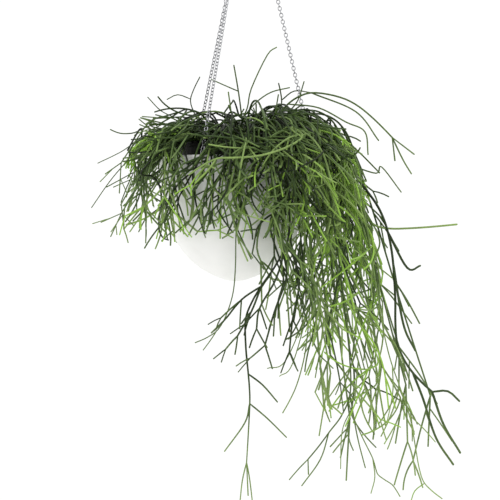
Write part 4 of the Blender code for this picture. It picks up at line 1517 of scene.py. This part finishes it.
def grow_filler(rng, group, part, tone):
    """A stem between the solid model's ones, with whorls from its first fork to its tip"""
    lines = []
    habit = HABITS[group["habit"]]
    least, most = group["length"]
    slack = group["stray"] * rng.random() ** 2
    for _ in range(TRIES):
        reach = least + (most - least) * rng.random() ** group["short"]
        stem = arching_stem(rng, {**group, "length": (reach, reach)}, part)
        stem = wander(rng, stem, group["wander"])
        if has_room(stem, FINE_RADII[0], slack, rooted=True):
            break
    else:
        return lines
    lines.append(fine_line(stem, 0, tone, group["girth"]))
    # Whorls spring from the points of the stem, apart from the last two of its blunt tip
    smooth = lines[0][0][:-2]
    if "loose" in group:
        slack = None
    travelled = 0.0
    next_fork = group["first"] * rng.uniform(*FIRST_FORKS) * MM
    for i in range(1, len(smooth)):
        travelled += np.linalg.norm(smooth[i] - smooth[i - 1])
        last = i == len(smooth) - 1
        if travelled > next_fork or last:
            next_fork = travelled + rng.uniform(*group["nodes"]) * MM
            way = unit(smooth[i] - smooth[i - 1])
            order = 2 if last else 1
            grow_whorl(rng, lines, smooth[i] - way * WHORL_INSET, way, order, habit, tone, slack)
    return lines


# %% [markdown]
# ### What fills the plant
#
# The crown is a dense dark tangle, the fringe is short and spread out, and the cascade is long and
# loose. One rule with one set of numbers can't be all of them. Each region starts from the group of
# the solid model that it hangs among, and changes only what differs.

# %% What grows between the solid model's stems
# like: the group that it starts from; tone: dark to light; dark: over 1 favours dark stems; girth:
# share of the usual thickness; wander: size of its waves in mm; short: over 1 favours short stems;
# stray: how far in mm the boldest may rise over the plant's outline; scatter: how far in degrees a
# root may lie to the side; loose: its twigs may stand out of the outline
FILLERS = {
    "cascade": {"like": "cascade", "count": 31, "seed": 111, "length": (150, 450), "short": 2.8,
                "lift": (26, 66), "settle": (-30, 30), "fall": (-83, -60), "nodes": (56, 104),
                "tone": (-0.1, 0.7), "dark": 1.4, "girth": 0.95, "wander": 14, "stray": 12,
                "habit": "trailing"},
    "young": {"like": "cascade", "count": 9, "seed": 199, "length": (180, 430), "short": 1.4,
              "azimuth": (-32, 32), "lift": (26, 66), "settle": (-30, 30), "fall": (-80, -60),
              "nodes": (60, 100), "tone": (0.4, 0.8), "dark": 1.0, "girth": 0.8, "wander": 14,
              "stray": 5, "habit": "trailing"},
    "veil": {"like": "veil", "count": 16, "seed": 166, "length": (130, 380), "short": 1.4,
             "lift": (26, 66), "tone": (-0.1, 0.5), "dark": 1.4, "girth": 0.95, "wander": 8,
             "stray": 5, "habit": "fanned"},
    "left": {"like": "left", "count": 1, "seed": 122, "length": (100, 180), "short": 1.0,
             "azimuth": (152, 236), "lift": (16, 50), "fall": (-80, -50), "tone": (0.0, 0.6),
             "dark": 1.2, "girth": 0.9, "wander": 7, "stray": 10, "habit": "fanned"},
    "sweep": {"like": "left", "count": 8, "seed": 177, "length": (90, 145), "short": 1.0,
              "azimuth": (145, 215), "root": (4, 60), "lift": (10, 46), "fall": (-34, -2),
              "scatter": 70, "tone": (-0.1, 0.5), "dark": 1.6, "girth": 0.9, "wander": 10,
              "stray": 14, "habit": "tangled"},
    "tuft": {"like": "left", "count": 5, "seed": 188, "length": (84, 104), "short": 1.0,
             "azimuth": (184, 214), "lift": (14, 34), "fall": (-44, -20), "bend": (90, 120),
             "first": 66, "nodes": (14, 24), "tone": (0.5, 0.8), "dark": 1.0, "girth": 0.75,
             "wander": 3, "stray": 2, "habit": "tufted"},
    "spark": {"like": "cascade", "count": 3, "seed": 233, "length": (150, 185), "short": 1.0,
              "azimuth": (-34, -4), "lift": (26, 46), "fall": (-72, -54), "bend": (90, 120),
              "first": 118, "nodes": (16, 26), "tone": (0.35, 0.6), "dark": 1.0, "girth": 0.75,
              "wander": 3, "stray": 2, "habit": "tufted"},
    "edge": {"like": "cascade", "count": 6, "seed": 251, "length": (170, 260), "short": 1.0,
             "azimuth": (-30, 24), "lift": (30, 56), "fall": (-78, -56), "bend": (100, 140),
             "settle": (-14, 14), "first": 106, "nodes": (24, 40), "tone": (-0.05, 0.5), "dark": 1.0,
             "girth": 0.85, "wander": 8, "stray": 2, "habit": "drooping", "loose": True},
    "fringe": {"like": "front", "count": 13, "seed": 211, "length": (110, 185), "short": 1.0,
               "azimuth": (214, 262), "lift": (20, 60), "fall": (-84, -62), "tone": (0.0, 0.6),
               "dark": 1.2, "girth": 0.9, "wander": 8, "stray": 5, "habit": "fanned"},
    # The brow's tones are kept dark partly as painted shade, for the shadow that falls over the front of
    # the rim under the crown, and partly for the stems' own dark green
    "brow": {"like": "front", "count": 26, "seed": 222, "length": (76, 130), "short": 1.0,
             "azimuth": (232, 312), "root": (20, 62), "scatter": 60, "lift": (0, 34),
             "fall": (-64, -16), "bend": (70, 110), "first": 56, "nodes": (26, 44),
             "tone": (-0.25, 0.3), "dark": 2.2, "girth": 0.95, "wander": 16, "stray": 0,
             "habit": "tangled"},
    "front": {"like": "front", "count": 17, "seed": 133, "length": (80, 190), "short": 1.2,
              "azimuth": (218, 302), "lift": (16, 58), "fall": (-84, -52), "tone": (-0.15, 0.5),
              "dark": 1.4, "girth": 0.9, "wander": 8, "stray": 5, "habit": "fanned"},
    "back": {"like": "back", "count": 30, "seed": 144, "length": (90, 190), "short": 1.0,
             "azimuth": (56, 148), "lift": (16, 56), "tone": (-0.1, 0.5), "dark": 1.4,
             "girth": 0.9, "wander": 6, "stray": 5, "habit": "fanned"},
    "loops": {"like": "crown", "count": 12, "seed": 245, "length": (100, 180), "short": 1.0,
              "azimuth": (0, 360), "root": (10, 62), "scatter": 180, "lift": (50, 82),
              "rise": (0, 14), "fall": (-90, -30), "bend": (70, 120), "first": 80,
              "nodes": (70, 110), "tone": (-0.15, 0.3), "dark": 1.5, "girth": 0.95, "wander": 14,
              "stray": 46, "habit": "tangled"},
    "crown": {"like": "crown", "count": 54, "seed": 155, "length": (100, 215), "short": 1.0,
              "azimuth": (0, 360), "root": (6, 62), "scatter": 180, "lift": (5, 60),
              "rise": (0, 24), "fall": (-44, 6), "bend": (60, 125), "first": 40,
              "nodes": (40, 70), "tone": (-0.18, 0.48), "dark": 2.6, "girth": 0.95, "wander": 24,
              "stray": 30, "habit": "tangled"},
}
PIECES_PER_FILLER = 2

# %% Stems given one by one between the solid ones
# Thin or pale stems that stand out, across the bowl's rim, at the left and at the foot of the cascade.
# Places are given as for the chosen stems
ACCENTS = {
    "level": {
        "trunk": [(34, -40), (62, -84, 34), (82, -118, 22), (58, -142, 6), (26, -148, -3),
                  (-4, -150, -5), (-21, -150, -6), (-38, -152, -14), (-56, -152, -26)],
        "branches": [(7, (-32, -156, -20), (-48, -158, -36))],
        "tone": 0.5, "girth": 1.0,
    },
    "arch": {
        "trunk": [(46, -30), (66, -70, 34), (86, -104, 26), (100, -120, 12), (110, -126, -8),
                  (116, -130, -34)],
        "branches": [(3, (66, -128, 20), (46, -138, 4), (32, -142, -16))],
        "tone": 0.42, "girth": 0.95,
    },
    "low_sprig": {
        "trunk": [(40, -30), (70, -60, 34), (92, -74, 10), (98, -80, -40), (97, -82, -110),
                  (92, -82, -180), (86, -82, -240), (74, -82, -285), (58, -82, -316)],
        "branches": [(6, (62, -84, -251), (39, -86, -261)), (6, (70, -80, -256), (54, -78, -271))],
        "tone": 0.3, "girth": 0.65,
    },
    "low_curl": {
        "trunk": [(40, -20), (70, -50, 36), (96, -70, 10), (110, -76, -60), (122, -80, -160),
                  (130, -82, -240), (141, -82, -310), (168, -82, -370), (175, -83, -391),
                  (192, -84, -403), (202, -86, -418)],
        "branches": [(7, (131, -84, -338), (129, -86, -384)), (8, (171, -84, -394), (166, -88, -414))],
        "tone": 0.2, "girth": 0.6,
    },
    "low_right": {
        "trunk": [(46, -20), (84, -50, 40), (124, -64, 24), (150, -72, -30), (165, -78, -110),
                  (180, -80, -205), (192, -80, -256), (213, -80, -316), (222, -80, -364),
                  (231, -80, -400), (254, -80, -421)],
        "branches": [(10, (220, -82, -411), (215, -82, -425)), (7, (193, -84, -290), (186, -86, -326)),
                     (8, (232, -76, -336), (246, -74, -352)), (6, (196, -86, -232), (206, -90, -254))],
        "tone": 0.3, "girth": 0.65,
    },
    "whisker": {
        "trunk": [(-48, 4), (-78, 6, 38), (-106, 8, 40), (-126, 6, 31), (-144, 4, 30), (-157, 3, 35)],
        "branches": [],
        "tone": 0.15, "girth": 0.7,
    },
}

# %% Looks of the solid model's stems
# Tone and girth of the stems, and of branches that differ from their trunk
LOOKS = {"arch_right": (0.15, 0.9), "light_run": (0.42, 1.15), "dark_edge": (-0.1, 1.3),
         "dark_group": (-0.05, 1.05), "thin_left": (0.2, 0.6), "low_fork": (0.15, 0.75),
         "crown_mid": (0.15, 0.75), "crown_left": (0.1, 0.62), "crown_right": (0.1, 0.75),
         "cascade": (0.2, 0.95), "veil": (0.1, 1.0), "left": (0.15, 0.7), "front": (0.15, 0.95),
         "back": (0.1, 0.95), "crown": (0.05, 0.9)}
BRANCH_LOOKS = {"light_run": (0.15, 0.85)}
# Some stems bear many more twigs above a certain height
BUSHY = ("dark_group",)
BUSHY_ABOVE = over_rim(0, 0, -245)[2]
# Below that height the same stems grow paler and thinner, down to this far under it
FADE_OVER = 120 * MM
FADE_AGE = 0.55
FADE_GIRTH = 0.3
# Chance that a side shoot ends plainly, with no whorl
BARE = {"cascade": 0.5, "left": 0.9, "front": 0.3}


def faded(points, radii, ages, tone):
    """The same line, paler and thinner the further it hangs under the bushy part"""
    share = np.clip((BUSHY_ABOVE - points[:, 2]) / FADE_OVER, 0, 1)
    return points, radii * (1 - FADE_GIRTH * share), ages + FADE_AGE * share, tone


# %% Grow the fine lines of the solid model's stems
STEM_SEED = 500
TONE_SCATTER = 0.12
# How far over the outline these twigs may rise, in mm
WHORL_STRAY = 10
# The habit of the sprays' twigs, by group, where it isn't fanned
SPRAY_HABITS = {"crown": "tangled", "cascade": "trailing"}

stem_lines = {}
for number, (name, pieces) in enumerate(sprays.items()):
    chosen = name.removeprefix("spray_") in CHOSEN_STEMS
    kind = name.removeprefix("spray_") if chosen else name.split("_")[1]
    rng = random.Random(STEM_SEED + number)
    tone, girth = LOOKS[kind]
    tone += rng.uniform(-TONE_SCATTER, TONE_SCATTER)
    looks = [(tone, girth), BRANCH_LOOKS.get(kind, (tone, girth))]
    lines = [fine_line(points, order, *looks[min(order, 1)]) for order, points in pieces]
    habit = HABITS[SPRAY_HABITS.get(kind, "fanned")]
    for order, points in pieces:
        way = unit(points[-1] - points[-2])
        tip = points[-1] - way * WHORL_INSET
        if order and not chosen and rng.random() > BARE.get(kind, 0):
            grow_whorl(rng, lines, tip, way, order + 1, habit, tone, WHORL_STRAY)
        if order and kind in BUSHY and points[-1][2] > BUSHY_ABOVE:
            grow_whorl(rng, lines, points[-2], way, 2, HABITS["bushy"], tone, None)
            grow_whorl(rng, lines, tip, way, 2, HABITS["bushy"], tone, None)
    if kind in BUSHY:
        lines = [faded(*line) for line in lines]
    stem_lines[name] = lines
print(len(stem_lines), "sprays have", sum(map(len, stem_lines.values())), "fine lines")

# %% Grow the stems between them
filler_lines = {}
for name, filler in FILLERS.items():
    rng = random.Random(filler["seed"])
    group = {**STEM_GROUPS[filler["like"]], **filler}
    for i in range(group["count"]):
        piece_name = "twigs_%s_%d" % (name, i % PIECES_PER_FILLER + 1)
        tone = between(group["tone"], rng.random() ** group["dark"])
        grown = grow_filler(rng, group, (i + 0.5) / group["count"], tone)
        filler_lines.setdefault(piece_name, []).extend(grown)

for name, stem in ACCENTS.items():
    spray = Spray(0, Clearance())
    grow_chosen(stem, spray)
    filler_lines["twigs_" + name] = [fine_line(points, order, stem["tone"], stem["girth"])
                                     for order, points in spray.pieces]

print(sum(map(len, filler_lines.values())), "fine lines lie between the sprays")

# %% [markdown]
# ## The colour of the stems
#
# Old stems are a dull dark green and corky. Young ones are bright, almost yellow at the tips. The
# skin is waxed a little, so it has a weak, wide sheen. Tiny dark dots mark the areoles, the places
# where a cactus would bear its spines.

# %% Living stems
SKIN_GLOSS = 0.28
AREOLE_SPACING = 5 * MM
# How much of the colour's place between dark and pale comes from age, and from the mottled skin
AGE_SHARE = 0.6
MOTTLE_SHARE = 0.3


def living_stem():
    material, tree, shader, place = new_material("waxy_green_cactus_skin")
    age = add_node(tree, "ShaderNodeAttribute", {}, attribute_name="age").outputs["Fac"]
    tone = add_node(tree, "ShaderNodeAttribute", {}, attribute_name="tone").outputs["Fac"]
    mottle = add_node(tree, "ShaderNodeTexNoise", {"Vector": place, "Scale": per_metre(14 * MM),
                                                   "Detail": 4}).outputs["Fac"]
    aged = add_node(tree, "ShaderNodeMath", {0: age, 1: AGE_SHARE, 2: tone}, operation="MULTIPLY_ADD")
    mixed = add_node(tree, "ShaderNodeMath", {0: mottle, 1: MOTTLE_SHARE, 2: aged.outputs[0]},
                     operation="MULTIPLY_ADD")
    shade = colour_ramp(tree, mixed.outputs[0],
                        [(0.15, "131d08"), (0.4, "33481c"), (0.62, "60783f"), (0.85, "869f59"),
                         (1.0, "8fb945")])
    dots = add_node(tree, "ShaderNodeTexVoronoi",
                    {"Vector": place, "Scale": per_metre(AREOLE_SPACING)})
    dotted = add_node(tree, "ShaderNodeMapRange", {"Value": dots.outputs["Distance"], "From Min": 0.08,
                                                   "From Max": 0.14, "To Min": 0.7, "To Max": 0.0})
    skin = add_node(tree, "ShaderNodeMix", {"Factor": dotted.outputs["Result"], "A": shade,
                                            "B": linear("4a3a24")}, data_type="RGBA")
    tree.links.new(skin.outputs["Result"], shader.inputs["Base Color"])
    roughness_from(tree, shader, mottle, 0.42, 0.58)
    shader.inputs["Specular IOR Level"].default_value = SKIN_GLOSS
    fine = add_node(tree, "ShaderNodeTexNoise", {"Vector": place, "Scale": per_metre(1.5 * MM),
                                                 "Detail": 3}).outputs["Fac"]
    bump_from(tree, shader, fine, 0.08 * MM, 0.5)
    return material


# %% Tubes that carry age and tone
STEM_SIDES = 6


def stem_piece(name, lines):
    """Tubes for all the lines of a piece, with the age and tone of each point"""
    piece = tube_piece(name, [(points, radii) for points, radii, _, _ in lines], STEM_SIDES)
    total = sum(len(points) for points, _, _, _ in lines)
    tree = KDTree(total)
    ages, tones = [], []
    for points, _, line_ages, tone in lines:
        for point, age in zip(points, line_ages):
            tree.insert(point, len(ages))
            ages.append(age)
            tones.append(tone)
    tree.balance()
    nearest = [tree.find(vertex.co)[1] for vertex in piece.data.vertices]
    for label, values in (("age", ages), ("tone", tones)):
        attribute = piece.data.attributes.new(label, "FLOAT", "POINT")
        attribute.data.foreach_set("value", np.array(values, dtype=np.float32)[nearest])
    return piece


# %% Make the stems
skin = living_stem()
for name, lines in stem_lines.items():
    finish_piece(stem_piece(name.replace("spray", "stems"), lines), skin, "stem_green", name)
for name, lines in filler_lines.items():
    finish_piece(stem_piece(name, lines), skin, "stem_green")

# %% [markdown]
# ## The end
#
# Twigs and the stems between the sprays were kept within the solid model's box, with 3 mm to spare.
# At the end nothing is left selected.

# %% Finish
deselect_all()
